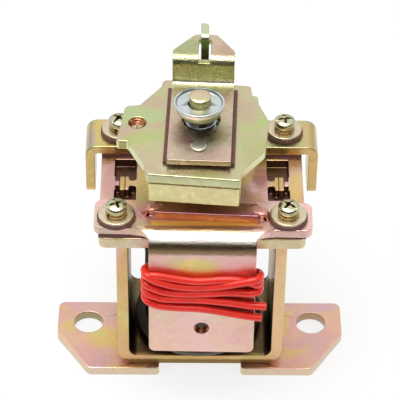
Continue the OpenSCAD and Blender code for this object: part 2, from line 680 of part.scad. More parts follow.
// Fibre sheet, guide bracket and its rivet, all turned a little on the bridge
module bridge_fibre_sheet() color("saddlebrown") at_guide() difference() {
    w = guide_w / 2 + sheet_margin;
    box(-w, w, -sheet_front, sheet_rear, bridge_top, guide_z);
    guide_well(bridge_top, guide_z);
}
module guide_well(z0, z1) translate([0, well_back, 0]) rod(well_dia, z0 - cut, z1 + cut);
module guide_bracket() color("tan") at_guide() {
    w = guide_w / 2;
    r = guide_bend + guide_t;
    difference() {
        union() {
            plate([[-w, -guide_front, 0.5], [w, -guide_front, 0.5], [w, riser_y - guide_bend, 0],
                [-w, riser_y - guide_bend, 0]], guide_z, guide_top);
            translate([-w, riser_y - guide_bend, guide_z + r]) rotate([180, 0, 0])
                bend(guide_bend, guide_t, guide_w);
            box(-w, w, riser_y, riser_y + guide_t, guide_z + r, head_top - r);
            translate([-w, riser_y + r, head_top - r]) bend(guide_bend, guide_t, guide_w);
            plate([[-w, riser_y + r - 0.01, 0], [w, riser_y + r - 0.01, 0], [w, head_side, 1.5],
                [4.3, head_reach, 2], [-3.2, head_reach, 2], [-w, head_side, 1.5]],
                head_top - guide_t, head_top);
        }
        guide_well(guide_z, guide_top);
        translate(guide_rivet) rod(rivet_shank + 2 * slide, guide_z - cut, guide_top + cut);
        translate([0.2, 0, 0]) plate([[-slot_w / 2, riser_y - cut, 0], [slot_w / 2, riser_y - cut, 0],
            [slot_w / 2, slot_end, 0.8], [-slot_w / 2, slot_end, 0.8]],
            head_top - guide_t - 0.1, head_top + cut);
    }
}
rivet_shank = 3.4;
module guide_bracket_rivet() color("silver") at_guide() translate(guide_rivet) {
    rod(rivet_shank, guide_z, guide_top + 0.3);
    rod(rivet_head, guide_top, guide_top + 0.9);
}

left_foot();
right_foot();
yoke();
top_plate();
core();
guide_sleeve();
coil_seat_washer();
bobbin();
coil_winding();
return_spring();
stop_ring();
front_insulator();
rear_insulator();
front_terminal();
front_contact();
rear_terminal();
rear_contact();
screw_bushes();
fibre_washers();
flat_washers();
spring_washers();
terminal_screws();
lead_1();
lead_2();
guide_strip();
guide_strip_rivets();
plunger();
plunger_collar();
stud();
spring_cup();
contact_spring();
bridge_bush();
spring_seat();
bridge_plate();
front_block();
rear_block();
bridge_fibre_sheet();
guide_bracket();
guide_bracket_rivet();
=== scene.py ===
"""Looks of the starter relay: camera, light, finishes and the pieces that need more than their CAD solids."""

import json
import math

import bmesh
import bpy
import numpy as np
from mathutils import Matrix, Vector


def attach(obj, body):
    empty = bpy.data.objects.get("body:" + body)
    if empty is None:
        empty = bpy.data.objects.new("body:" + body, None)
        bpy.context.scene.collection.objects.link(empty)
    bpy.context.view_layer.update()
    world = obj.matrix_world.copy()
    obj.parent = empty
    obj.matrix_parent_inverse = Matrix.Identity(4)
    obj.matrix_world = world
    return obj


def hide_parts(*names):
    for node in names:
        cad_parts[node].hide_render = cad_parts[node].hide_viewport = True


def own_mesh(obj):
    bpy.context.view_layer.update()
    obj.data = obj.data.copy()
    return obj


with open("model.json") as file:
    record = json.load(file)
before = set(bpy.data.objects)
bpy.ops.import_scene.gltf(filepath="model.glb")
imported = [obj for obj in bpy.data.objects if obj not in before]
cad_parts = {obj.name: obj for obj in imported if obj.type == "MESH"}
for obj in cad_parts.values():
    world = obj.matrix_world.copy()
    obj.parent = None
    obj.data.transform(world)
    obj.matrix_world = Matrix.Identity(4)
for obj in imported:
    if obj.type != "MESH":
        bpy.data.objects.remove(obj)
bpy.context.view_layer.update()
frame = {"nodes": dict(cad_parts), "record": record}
MM = 0.001


# ---------------------------------------------------------------- camera
def add_camera():
    """Places the camera on a sphere about a point on the relay's axis, turned a little about its own view axis."""
    elevation, yaw, roll = math.radians(41.545), math.radians(0.791), math.radians(0.866)
    target, distance, lens = Vector((-0.000537, 0, 0.062405)), 0.77718, 203.59
    back = Vector((-math.sin(yaw) * math.cos(elevation), -math.cos(yaw) * math.cos(elevation), math.sin(elevation)))
    right = Vector((math.cos(yaw), -math.sin(yaw), 0))
    up = back.cross(right)
    x = math.cos(roll) * right + math.sin(roll) * up
    y = math.cos(roll) * up - math.sin(roll) * right
    place = target + distance * back
    data = bpy.data.cameras.new("camera")
    data.lens, data.sensor_width, data.clip_start, data.clip_end = lens, 36, 0.05, 20
    camera = bpy.data.objects.new("camera", data)
    camera.matrix_world = Matrix(((x.x, y.x, back.x, place.x), (x.y, y.y, back.y, place.y),
                                  (x.z, y.z, back.z, place.z), (0, 0, 0, 1)))
    bpy.context.scene.collection.objects.link(camera)
    bpy.context.scene.camera = camera


add_camera()
bpy.context.scene.view_settings.view_transform = "Standard"


# ---------------------------------------------------------------- node tools
def linear(r, g, b):
    """Turns a display colour of 0 to 255 into the shader's linear colour."""
    parts = (r / 255, g / 255, b / 255)
    return tuple(c / 12.92 if c <= 0.04045 else ((c + 0.055) / 1.055) ** 2.4 for c in parts) + (1,)


class Net:
    """Short way to add nodes to a tree and join them by socket names."""

    def __init__(self, tree):
        self.tree = tree

    def add(self, kind, inputs=None, **settings):
        """Adds a node: a socket among its inputs is linked, any other value is set."""
        node = self.tree.nodes.new(kind)
        for key, value in settings.items():
            setattr(node, key, value)
        for key, value in (inputs or {}).items():
            if isinstance(value, bpy.types.NodeSocket):
                self.tree.links.new(value, node.inputs[key])
            else:
                node.inputs[key].default_value = value
        return node

    def feed(self, shader, sockets):
        """Links values to a shader's sockets by name."""
        for name, value in sockets.items():
            self.tree.links.new(value, shader.inputs[name])

    def math(self, what, a, b=0.0):
        return self.add("ShaderNodeMath", {0: a, 1: b}, operation=what).outputs[0]

    def vector(self, what, a, b):
        return self.add("ShaderNodeVectorMath", {0: a, 1: b}, operation=what).outputs[0]

    def split(self, vector):
        return self.add("ShaderNodeSeparateXYZ", {0: vector}).outputs

    def mix(self, factor, a, b):
        """Colour a where the factor is 0, b where it is 1."""
        return self.add("ShaderNodeMix", {0: factor, 6: a, 7: b}, data_type="RGBA", blend_type="MIX").outputs[2]

    def ramp(self, value, stops):
        """Grey that runs straight between stops of (value, grey)."""
        node = self.add("ShaderNodeValToRGB", {0: value})
        while len(node.color_ramp.elements) < len(stops):
            node.color_ramp.elements.new(0.5)
        for element, (at, grey) in zip(node.color_ramp.elements, stops):
            element.position, element.color = at, (grey, grey, grey, 1)
        return node.outputs[0]

    def band(self, value, low, high, to_low=0.0, to_high=1.0):
        """Eases from to_low at the value low to to_high at the value high."""
        return self.add("ShaderNodeMapRange", {0: value, 1: low, 2: high, 3: to_low, 4: to_high},
                        interpolation_type="SMOOTHSTEP").outputs[0]

    def noise(self, where, scale, detail=2.0, rough=0.5, distort=0.0):
        return self.add("ShaderNodeTexNoise", {"Vector": where, "Scale": scale, "Detail": detail, "Roughness": rough,
                                               "Distortion": distort}).outputs[0]

    def fray(self, where, scale, amount, detail=2.0):
        """Fine noise about zero that makes the rim of a mask ragged."""
        return self.math("MULTIPLY", self.math("SUBTRACT", self.noise(where, scale, detail, 0.6), 0.5), amount)

    def bump(self, height, strength):
        return self.add("ShaderNodeBump", {"Strength": strength, "Distance": 0.0002, "Height": height}).outputs[0]


def group(name, inputs, outputs, build):
    """Makes one shader node group: inputs are (name, kind, default), outputs are (name, kind)."""
    tree = bpy.data.node_groups.new(name, "ShaderNodeTree")
    for label, kind, default in inputs:
        socket = tree.interface.new_socket(label, in_out="INPUT", socket_type="NodeSocket" + kind)
        if default is not None:
            socket.default_value = default
    for label, kind in outputs:
        tree.interface.new_socket(label, in_out="OUTPUT", socket_type="NodeSocket" + kind)
    source, sink = tree.nodes.new("NodeGroupInput"), tree.nodes.new("NodeGroupOutput")
    for label, value in build(Net(tree), source.outputs).items():
        tree.links.new(value, sink.inputs[label])
    return tree


def use(net, tree, **values):
    """Places a node group in a material with its own values."""
    return net.add("ShaderNodeGroup", values, node_tree=tree).outputs


def drift(net, given):
    """Mask of slow clouds: noise of the given size, cut softly between two levels."""
    where = net.vector("ADD", given["Position"], given["Offset"])
    return {"Mask": net.band(net.noise(where, given["Scale"], 2.5, 0.5, 0.6), given["Low"], given["High"])}


def blot(net, given):
    """Mask of one soft spot: distance from a centre in units of a size, frayed by noise."""
    away = net.vector("DIVIDE", net.vector("SUBTRACT", given["Position"], given["Centre"]), given["Size"])
    length = net.add("ShaderNodeVectorMath", {0: away}, operation="LENGTH").outputs["Value"]
    fray = net.fray(given["Position"], 190.0, given["Fray"], 3.0)
    return {"Mask": net.band(net.math("ADD", length, fray), 1.15, 0.45)}


def inside(net, given):
    """Mask of a box: the least distance to its six sides over a soft width, frayed by fine noise."""
    low = net.vector("SUBTRACT", given["Position"], given["Low"])
    high = net.vector("SUBTRACT", given["High"], given["Position"])
    x, y, z = net.split(net.vector("MINIMUM", low, high))
    least = net.math("MINIMUM", x, net.math("MINIMUM", y, z))
    fray = net.math("MULTIPLY", net.fray(given["Position"], 3200.0, given["Fray"]), given["Soft"])
    return {"Mask": net.band(net.math("DIVIDE", net.math("ADD", least, fray), given["Soft"]), -0.5, 0.5)}


def grain(net, given):
    """Height of a pickled and plated sheet: fine round grain, an orange peel and slow waves of rolling."""
    fine = net.noise(given["Position"], 4200.0, 2.0, 0.6)
    peel = net.noise(given["Position"], 1900.0, 2.0, 0.55)
    slow = net.noise(given["Position"], 120.0, 1.0, 0.5)
    height = net.math("ADD", net.math("MULTIPLY", fine, 0.5), net.math("MULTIPLY", peel, 1.3))
    return {"Height": net.math("ADD", height, net.math("MULTIPLY", slow, 1.6))}


def wear(net, given):
    """Small pits and rubs: sparse dark specks, a fine mottle, and a roughness that wanders with a mid-sized cloud."""
    speck = net.band(net.noise(given["Position"], 2300.0, 2.0, 0.65), 0.66, 0.76)
    rub = net.band(net.noise(given["Position"], 420.0, 3.0, 0.6), 0.3, 0.7, -0.04, 0.08)
    rough = net.math("ADD", given["Roughness"], net.math("ADD", rub, net.math("MULTIPLY", speck, 0.12)))
    mottle = net.band(net.noise(given["Position"], 2900.0, 2.0, 0.6), 0.38, 0.62)
    return {"Specks": net.math("MULTIPLY", speck, given["Amount"]), "Mottle": mottle, "Roughness": rough}


PLACE = ("Position", "Vector", None)
DRIFT = group("slow clouds", [PLACE, ("Offset", "Vector", (0, 0, 0)), ("Scale", "Float", 40.0),
                              ("Low", "Float", 0.45), ("High", "Float", 0.6)], [("Mask", "Float")], drift)
BLOT = group("soft spot", [PLACE, ("Centre", "Vector", (0, 0, 0)), ("Size", "Vector", (1, 1, 1)),
                           ("Fray", "Float", 0.8)], [("Mask", "Float")], blot)
INSIDE = group("soft box", [PLACE, ("Low", "Vector", (-1, -1, -1)), ("High", "Vector", (1, 1, 1)),
                            ("Soft", "Float", 0.0005), ("Fray", "Float", 1.5)], [("Mask", "Float")], inside)
GRAIN = group("sheet grain", [PLACE], [("Height", "Float")], grain)
WEAR = group("pits and rubs", [PLACE, ("Amount", "Float", 0.2), ("Roughness", "Float", 0.3)],
             [("Specks", "Float"), ("Mottle", "Float"), ("Roughness", "Float")], wear)


def metres(values):
    """Millimetres as metres."""
    return tuple(v * MM for v in values)


def finish(name, look):
    """Makes a material: look gets the net, the Principled shader and object positions."""
    material = bpy.data.materials.new(name)
    material.use_nodes = True
    net = Net(material.node_tree)
    shader = material.node_tree.nodes["Principled BSDF"]
    look(net, shader, net.add("ShaderNodeTexCoord").outputs["Object"])
    return material


def turned_away(net, axis, flat):
    """Mask of cut edges. flat=True: faces that leave a flat sheet's own axis. flat=False: faces that look along it."""
    normal = net.add("ShaderNodeNewGeometry").outputs["True Normal"]
    part = net.math("ABSOLUTE", net.split(normal)["XYZ".index(axis)])
    return net.band(part, 0.8, 0.4) if flat else net.band(part, 0.6, 0.9)


def plated(name, base, washes, spots=(), boxes=(), edge=None, edge_axis="Z", flat=True, seed=1, rough=0.3, bump=0.22,
           specks=0.3, mottle=0.12):
    """Yellow-passivated zinc, whose thin film runs from gold to pink and green. Over the base tint lie washes, which
    are (tint, scale, low, high, amount) clouds, then spots, which are (tint, centre, size, amount), then the sheet's
    cut edges as edge = (tint, amount), and then boxes, which are (tint, low corner, high corner, soft width, amount,
    fray). Places are in mm. Dark specks and a fine mottle come last."""
    def look(net, shader, where):
        tint = base

        def lay(mask, amount, colour):
            return net.mix(net.math("MULTIPLY", mask, amount), tint, colour)

        for k, (wash, scale, low, high, amount) in enumerate(washes):
            offset = (0.37 * seed + 0.19 * k, 0.11 * seed, 0.23 * seed + 0.07 * k)
            tint = lay(use(net, DRIFT, Position=where, Offset=offset, Scale=scale, Low=low, High=high)[0], amount, wash)
        for spot, centre, size, amount in spots:
            tint = lay(use(net, BLOT, Position=where, Centre=metres(centre), Size=metres(size))[0], amount, spot)
        if edge:
            tint = lay(turned_away(net, edge_axis, flat), edge[1], edge[0])
        for box, low, high, soft, amount, fray in boxes:
            mask = use(net, INSIDE, Position=where, Low=metres(low), High=metres(high), Soft=soft * MM, Fray=fray)[0]
            tint = lay(mask, amount, box)
        marks = use(net, WEAR, Position=where, Amount=specks, Roughness=rough)
        tint = net.mix(marks["Specks"], tint, linear(112, 92, 58))
        tint = lay(marks["Mottle"], mottle, linear(84, 76, 44))
        dents = net.bump(use(net, GRAIN, Position=where)[0], bump)
        shader.inputs["Metallic"].default_value = 1.0
        net.feed(shader, {"Base Color": tint, "Roughness": marks["Roughness"], "Normal": dents})
    return finish(name, look)


def plain(name, colour, metallic, rough, spread=0.12, scale=400.0, bump=0.1, bump_scale=2500.0, coat=0.0, dark=None):
    """A finish of one colour that drifts between two shades, with a roughness and a fine height of its own."""
    def look(net, shader, where):
        shade = dark or tuple(c * (1 - spread) for c in colour[:3]) + (1,)
        net.feed(shader, {
            "Base Color": net.mix(net.band(net.noise(where, scale, 3.0, 0.6), 0.35, 0.65), shade, colour),
            "Roughness": net.band(net.noise(where, scale * 2.3, 3.0), 0.3, 0.7, rough - 0.05, rough + 0.07),
            "Normal": net.bump(net.noise(where, bump_scale, 3.0, 0.6), bump)})
        shader.inputs["Metallic"].default_value = metallic
        shader.inputs["Coat Weight"].default_value = coat
    return finish(name, look)


# ---------------------------------------------------------------- mesh tools
def mesh_piece(name, points, faces, material, body, node=None, slot=None, smooth=40):
    """Puts arrays of points (mm) and faces into an object that rides on a body and stands for a node."""
    mesh = bpy.data.meshes.new(name)
    mesh.from_pydata((np.asarray(points, float) * MM).tolist(), [], [tuple(int(i) for i in f) for f in faces])
    mesh.update()
    mesh.shade_smooth()
    mesh.set_sharp_from_angle(angle=math.radians(smooth))
    mesh.materials.append(material)
    piece = bpy.data.objects.new(name, mesh)
    bpy.context.scene.collection.objects.link(piece)
    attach(piece, body)
    if node:
        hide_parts(node)
    return piece


def stand_in(node, shape, material, smooth=40):
    """Puts a finer piece in the place of a CAD node of the same name and body."""
    return mesh_piece(node + "_finished", shape[0], shape[1], material, BODY[node], node, SLOT[node], smooth)


def broken_edges(node, width, material):
    """A merged copy of a CAD node with its sharp edges broken by a small round, as stamping and plating leave them."""
    mesh = frame["nodes"][node].data.copy()
    mesh.name = node + "_finished"
    form = bmesh.new()
    form.from_mesh(mesh)
    bmesh.ops.remove_doubles(form, verts=form.verts, dist=2e-6)
    bmesh.ops.dissolve_limit(form, angle_limit=math.radians(0.6), verts=form.verts, edges=form.edges)
    bmesh.ops.recalc_face_normals(form, faces=form.faces)
    form.to_mesh(mesh)
    form.free()
    mesh.shade_smooth()
    mesh.materials.clear()
    mesh.materials.append(material)
    piece = bpy.data.objects.new(mesh.name, mesh)
    bpy.context.scene.collection.objects.link(piece)
    bevel = piece.modifiers.new("broken edge", "BEVEL")
    bevel.width, bevel.segments, bevel.limit_method, bevel.angle_limit = width * MM, 3, "ANGLE", math.radians(40)
    bevel.use_clamp_overlap, bevel.harden_normals, bevel.miter_outer = False, False, "MITER_ARC"
    weigh = piece.modifiers.new("even shading", "WEIGHTED_NORMAL")
    weigh.keep_sharp = True
    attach(piece, BODY[node])
    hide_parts(node)


def unit(vectors):
    """Rows of vectors at length 1."""
    return vectors / np.linalg.norm(vectors, axis=1)[:, None]


def eased(t):
    """Smooth step: t squared times (3 - 2 t), held at 0 below and at 1 above."""
    t = np.clip(t, 0, 1)
    return t * t * (3 - 2 * t)


def surface(rows, closed_rows=False):
    """Skin of quads over points given as rows x columns x 3. The columns run round and join, and with closed_rows the
    last row joins the first as well."""
    rows = np.asarray(rows, float)
    count, columns = rows.shape[:2]
    r, c = np.meshgrid(np.arange(count if closed_rows else count - 1), np.arange(columns), indexing="ij")
    r2, c2 = (r + 1) % count, (c + 1) % columns
    faces = np.stack([r * columns + c, r * columns + c2, r2 * columns + c2, r2 * columns + c], -1)
    return rows.reshape(-1, 3), faces.reshape(-1, 4)


def closed_tube(rows, both=True):
    """Skin of an open tube of rings with one flat face over its first ring, and over its last if both are open."""
    points, faces = surface(rows)
    around = np.shape(rows)[1]
    faces = [tuple(f) for f in faces] + [tuple(range(around))[::-1]]
    if both:
        faces.append(tuple(len(points) - around + np.arange(around)))
    return points, faces


def turned(profile, segments=96, centre=(0, 0)):
    """Carries a closed profile of (radius, height) round an upright axis: x = cx + r cos a, y = cy + r sin a."""
    p = np.asarray(profile, float)
    a = np.linspace(0, 2 * np.pi, segments, endpoint=False)
    return surface(np.stack([centre[0] + np.outer(np.cos(a), p[:, 0]), centre[1] + np.outer(np.sin(a), p[:, 0]),
                             np.tile(p[:, 1], (segments, 1))], -1), True)


def rounded_ring(inner, outer, low, high, radius, steps=4):
    """Closed profile of a ring whose four corners are rounded: centre + radius (cos t, sin t) over a quarter turn."""
    corners = [(outer - radius, low + radius, -90), (outer - radius, high - radius, 0),
               (inner + radius, high - radius, 90), (inner + radius, low + radius, 180)]
    cx, cz, start = np.array(corners)[:, :, None].transpose(1, 0, 2)
    t = np.radians(start + np.linspace(0, 90, steps + 1))
    return np.stack([cx + radius * np.cos(t), cz + radius * np.sin(t)], -1).reshape(-1, 2)


def smooth_path(points, per=10):
    """Path through the given points with per steps a span: a cubic in t that leaves each point along the line between
    its two neighbours."""
    p = np.asarray(points, float)
    p = np.concatenate([2 * p[:1] - p[1:2], p, 2 * p[-1:] - p[-2:-1]])
    t = (np.arange(per) / per)[None, :, None]
    a, b, c, d = (p[k:len(p) - 3 + k, None] for k in range(4))
    spans = 0.5 * (2 * b + (c - a) * t + (2 * a - 5 * b + 4 * c - d) * t ** 2 + (3 * b - a - 3 * c + d) * t ** 3)
    return np.concatenate([spans.reshape(-1, 3), p[-2:-1]])


def swept(path, radius, around=16):
    """A round wire along a path that never runs upright: p(s) + r(s) (cos a side + sin a up), where side is square
    to the path and level, up is square to both, and the last rings close to shallow domes."""
    path = np.asarray(path, float)
    tangent = unit(np.gradient(path, axis=0))
    side = unit(np.cross(tangent, (0, 0, 1.0)))
    up = np.cross(side, tangent)
    cap = np.array([0.0, 0.5, 0.86])
    ease = 0.14 * radius * np.array([1.0, 0.85, 0.4])[:, None]
    path = np.concatenate([path[0] - ease * tangent[0], path, (path[-1] + ease * tangent[-1])[::-1]])
    side, up = (np.concatenate([[v[0]] * 3, v, [v[-1]] * 3])[:, None] for v in (side, up))
    r = radius * np.concatenate([cap, np.ones(len(path) - 6), cap[::-1]])[:, None, None]
    a = np.linspace(0, 2 * np.pi, around, endpoint=False)[None, :, None]
    points, faces = surface(path[:, None] + r * (np.cos(a) * side + np.sin(a) * up))
    return points, faces[:, ::-1]


def coiled(centre, radius, wire, low, high, turns, phase, per=40, around=14):
    """A spring with closed ends: x = cx + R cos a, y = cy + R sin a, z climbs by one wire a turn in the first and the
    last turn and evenly between them, with the corners of that climb smoothed."""
    t = np.linspace(0, turns, int(turns * per) + 1)
    start, stop = low + wire / 2, high - wire / 2
    step = 1.03 * wire
    z = np.interp(t, [0, 1, turns - 1, turns], [start, start + step, stop - step, stop])
    kernel = np.hanning(per // 3 * 2 + 1)
    z = np.convolve(np.pad(z, len(kernel) // 2, mode="reflect", reflect_type="odd"), kernel / kernel.sum(), "valid")
    a = 2 * np.pi * (t - turns) + math.radians(phase)
    return swept(np.stack([centre[0] + radius * np.cos(a), centre[1] + radius * np.sin(a), z], -1), wire / 2, around)


def merge(parts):
    """Joins several (points, faces) pairs into one."""
    points, faces, shift = [], [], 0
    for p, f in parts:
        points.append(p)
        faces += [tuple(int(i) + shift for i in face) for face in f]
        shift += len(p)
    return np.concatenate(points), faces


# ---------------------------------------------------------------- places, in mm as in the part's source
record = frame["record"]
BODY = {node: body for body, nodes in record["behaviour"]["bodies"].items() for node in nodes}
SLOT = {part["node"]: part["material_slot"] for part in record["subparts"]}
MOUNT = {mount["name"]: mount for mount in record["mounts"]}

AXIS = (-0.6, -1.0)  # of coil, plunger and stud
SCREWS = ((-28.5, -25.0, 24), (28.5, -25.0, -38), (-28.5, 19.3, 52), (28.5, 19.3, 8))  # x, y, turn of the recess
STRIP_TOP, FIBRE_TOP, WASHER_TOP, HEAD_LOW, HEAD_TOP = 76.5, 77.8, 78.8, 80.4, 83.2  # heights at a screw
TERMINAL_TURN, GUIDE_TURN = math.radians(-1.0), math.radians(-2.4)
TERMINAL_RIGHT = 1.3


def placed(points, angle, right=0.0, back=0.0):
    """Turns points about the coil's axis and sets them in the shared frame: R(angle) (p + shift) + axis."""
    p = np.array(points, float)
    x, y = p[:, 0] + right, p[:, 1] + back
    p[:, 0] = AXIS[0] + x * math.cos(angle) - y * math.sin(angle)
    p[:, 1] = AXIS[1] + x * math.sin(angle) + y * math.cos(angle)
    return p


def on_terminal(points):
    """Sets points of the front terminal, which sits a little right of the axis and turned by a degree."""
    return placed(points, TERMINAL_TURN, TERMINAL_RIGHT)


# ---------------------------------------------------------------- finishes
PINK, PEACH, CREAM = linear(236, 192, 188), linear(236, 200, 168), linear(228, 216, 184)
GREEN, LIME, GOLD = linear(202, 214, 168), linear(206, 220, 138), linear(228, 202, 118)
ROSE, BEIGE, AMBER = linear(222, 160, 164), linear(216, 204, 180), linear(206, 160, 84)
LILAC, TAN, SHADE, DARK = linear(206, 176, 186), linear(224, 190, 132), linear(120, 84, 62), linear(66, 44, 26)
COPPER, UMBER, SALMON = linear(226, 160, 146), linear(92, 64, 42), linear(214, 180, 164)

tab_plate = plated(
    "plated_terminal", linear(242, 200, 194), seed=1, rough=0.33, bump=0.65, mottle=0.05,
    washes=[(PEACH, 42, 0.42, 0.62, 0.7),
            (CREAM, 75, 0.55, 0.7, 0.5),
            (ROSE, 50, 0.52, 0.7, 0.35)],
    spots=[(linear(255, 220, 212), (0, -36.4, 66), (27, 6, 5.5), 0.7),  # painted highlight on the upper half of the tab, below the dark band
           (linear(250, 236, 140), (-2, -36, 63.5), (9, 9, 6), 0.9),  # yellow patch under the bend
           (LIME, (1.5, -36, 65.5), (5, 9, 4), 0.3),  # its green rim
           (LIME, (-9, -36, 67), (4, 9, 3), 0.3),  # green tinge left of it
           (AMBER, (0, -28, 76.5), (22, 6, 3), 0.75),  # painted amber reflection of the contact bar, in front of it
           (ROSE, (-19, -22, 76.5), (7, 5, 3), 0.7),  # rose beside the left claw
           (BEIGE, (-33, -26, 76.5), (4, 6, 3), 0.7),  # left ear's outer side
           (TAN, (-24, -17, 76.5), (8, 4, 3), 0.5),  # behind the left screw
           (CREAM, (-22, -28, 76.5), (5, 3, 3), 0.6),  # before the left screw
           (COPPER, (-16.5, -22.6, 79.3), (4.5, 4, 1.2), 0.8),  # left claw's tip
           (COPPER, (18, -23.4, 79.3), (4.5, 4, 1.2), 0.8)],  # right claw's tip
    boxes=[  # painted dark reflection band where the bend turns down
           (linear(138, 118, 72), (-19.5, -40, 69.9), (20, -33.5, 74.4), 1.1, 0.85, 3.6),
           # painted yellow reflection of the contact bar, in the stripe before it
           (linear(255, 222, 96), (-17, -28.7, 76), (18.5, -26.4, 77), 0.8, 0.9, 2.2),
           (linear(255, 253, 244), (-19.5, -36.4, 74.0), (20, -30.6, 76.4), 0.8, 0.7, 2.5),  # painted white highlight band on the bend
           (linear(176, 124, 84), (-19, -30.2, 75.6), (20, -28.8, 77), 0.5, 0.8, 3.0)])  # painted brown reflection line behind the bend
foot_plate = plated(
    "plated_feet", linear(232, 188, 160), seed=2, edge=(CREAM, 0.6),
    washes=[(linear(226, 176, 172), 45, 0.45, 0.6, 0.8),
            (LILAC, 38, 0.52, 0.64, 0.4),
            (GOLD, 62, 0.52, 0.64, 0.7)],
    spots=[(GOLD, (-33, -8, 3.5), (9, 6, 5), 0.8),  # left foot, before the hole
           (GOLD, (-26, -14, 3.5), (5, 4, 5), 0.6),  # its inner corner
           (LIME, (-36, -6, 3.5), (3, 2, 5), 0.35),  # a green dot
           (GOLD, (-46, -2, 3.5), (5, 4, 5), 0.6),  # beyond the hole
           (linear(214, 170, 190), (-24, 6, 3.5), (7, 3, 5), 0.6),  # its rear edge
           (linear(210, 178, 196), (44, 8, 3.5), (8, 3, 5), 0.6),  # right foot, rear edge
           (GOLD, (27, -5, 3.5), (3, 6, 5), 0.5)],  # beside the yoke
    boxes=[(linear(150, 136, 92), (-46.5, -6.5, -1), (-33.5, 6.5, 3.32), 0.2, 0.8, 0.6),  # dull wall of the left hole
           # painted shade on the wall of the left hole
           (linear(170, 134, 106), (33.5, -6.5, -1), (46.5, 6.5, 3.32), 0.2, 0.8, 0.6)])
yoke_plate = plated(
    "plated_yoke", linear(220, 186, 126), seed=3, rough=0.34, specks=0.5, mottle=0.14,
    washes=[(linear(226, 200, 130), 60, 0.45, 0.6, 0.7),
            (linear(228, 182, 140), 40, 0.5, 0.62, 0.6),
            (GREEN, 70, 0.58, 0.7, 0.5)],
    spots=[(linear(238, 196, 156), (29, -21, 34), (8, 8, 44), 0.8),  # front edge of the right leg
           (LIME, (29, -21, 40), (1.2, 6, 18), 0.5),  # green line in it
           (PINK, (-29, -21, 62), (2.5, 8, 12), 0.7),  # front edge of the left leg
           (AMBER, (0, -21, 5.5), (14, 9, 4), 0.5)],  # front edge of the floor
    boxes=[(linear(70, 56, 38), (-26.6, -19.4, 7), (25.4, 30, 18), 2.0, 0.85, 0.8),  # painted shade and reflection of the coil on the floor inside
           (linear(92, 76, 54), (-26.6, -17.6, 7), (25.4, 30, 40), 5.0, 0.6, 0.5),  # painted shade inside the legs
           (SHADE, (-40, -30, 67.8), (40, 30, 71.6), 0.4, 0.85, 0.5),  # shadow under the top plate
           (linear(122, 98, 56), (-27, -23, 3.0), (26, -20, 5.7), 0.6, 0.85, 2.6)])  # lower front edge
top_finish = plated(
    "plated_top", PINK, seed=4, edge=(linear(214, 206, 172), 0.65),
    washes=[(GOLD, 50, 0.48, 0.6, 0.8),
            (AMBER, 66, 0.58, 0.68, 0.5),
            (LILAC, 44, 0.55, 0.65, 0.3)],
    spots=[(linear(212, 164, 160), (-31, -3, 72), (4, 11, 4), 0.8),  # left edge
           (linear(170, 128, 84), (-31, 12, 72), (5, 4, 4), 0.8),  # painted shadow of the rear terminal, left edge
           (AMBER, (30, 8, 72), (7, 5, 4), 0.5),  # right edge, rear
           (linear(164, 108, 96), (20, 1, 72), (4, 8, 4), 0.85),  # painted shadow right of the bridge
           (linear(214, 190, 116), (-19.5, -3, 72), (4.5, 13, 4), 0.9),  # left of the bridge
           (LIME, (-20, -12, 72), (3, 4, 4), 0.5),  # a green dot there
           (GOLD, (32, -4, 72), (3, 10, 4), 0.8),  # right edge
           (TAN, (-24.6, -2.4, 72.1), (2.6, 4.2, 0.5), 1.0),  # left staked finger
           (TAN, (24.6, -2.4, 72.1), (2.6, 4.2, 0.5), 1.0)],  # right staked finger
    boxes=[(UMBER, (-33.6, -25, 68), (-19, 22, 71.8), 0.3, 0.85, 0.6),  # painted shade on the walls of the left windows
           (UMBER, (19, -25, 68), (33.6, 22, 71.8), 0.3, 0.85, 0.6)])  # painted shade on the walls of the right windows
bridge_finish = plated(
    "plated_bridge", linear(196, 208, 154), seed=5, edge=(linear(232, 236, 184), 0.8),
    washes=[(linear(212, 198, 162), 38, 0.42, 0.58, 0.8),
            (SALMON, 46, 0.52, 0.64, 0.6),
            (linear(190, 208, 124), 60, 0.54, 0.68, 0.6)],
    spots=[(SALMON, (15, 6, 95.6), (4, 7, 4), 0.6),  # right, rear
           (linear(192, 200, 130), (17, -12, 95.6), (6, 9, 4), 0.5),  # right, front
           (SALMON, (-17, 12, 95.6), (6, 5, 4), 0.5),  # left, rear
           (linear(236, 226, 196), (-9, -21.5, 95.6), (6, 3, 4), 0.6)])  # left, front edge
block_finish = plated(
    "plated_blocks", linear(252, 240, 182), seed=6, specks=0.35,
    washes=[(linear(226, 236, 160), 50, 0.5, 0.7, 0.35),
            (linear(248, 222, 188), 34, 0.5, 0.7, 0.4)],
    boxes=[(linear(120, 90, 40), (-30, -40, 91.55), (30, 40, 93), 0.35, 0.8, 2.5)])  # shaded joint under the bridge
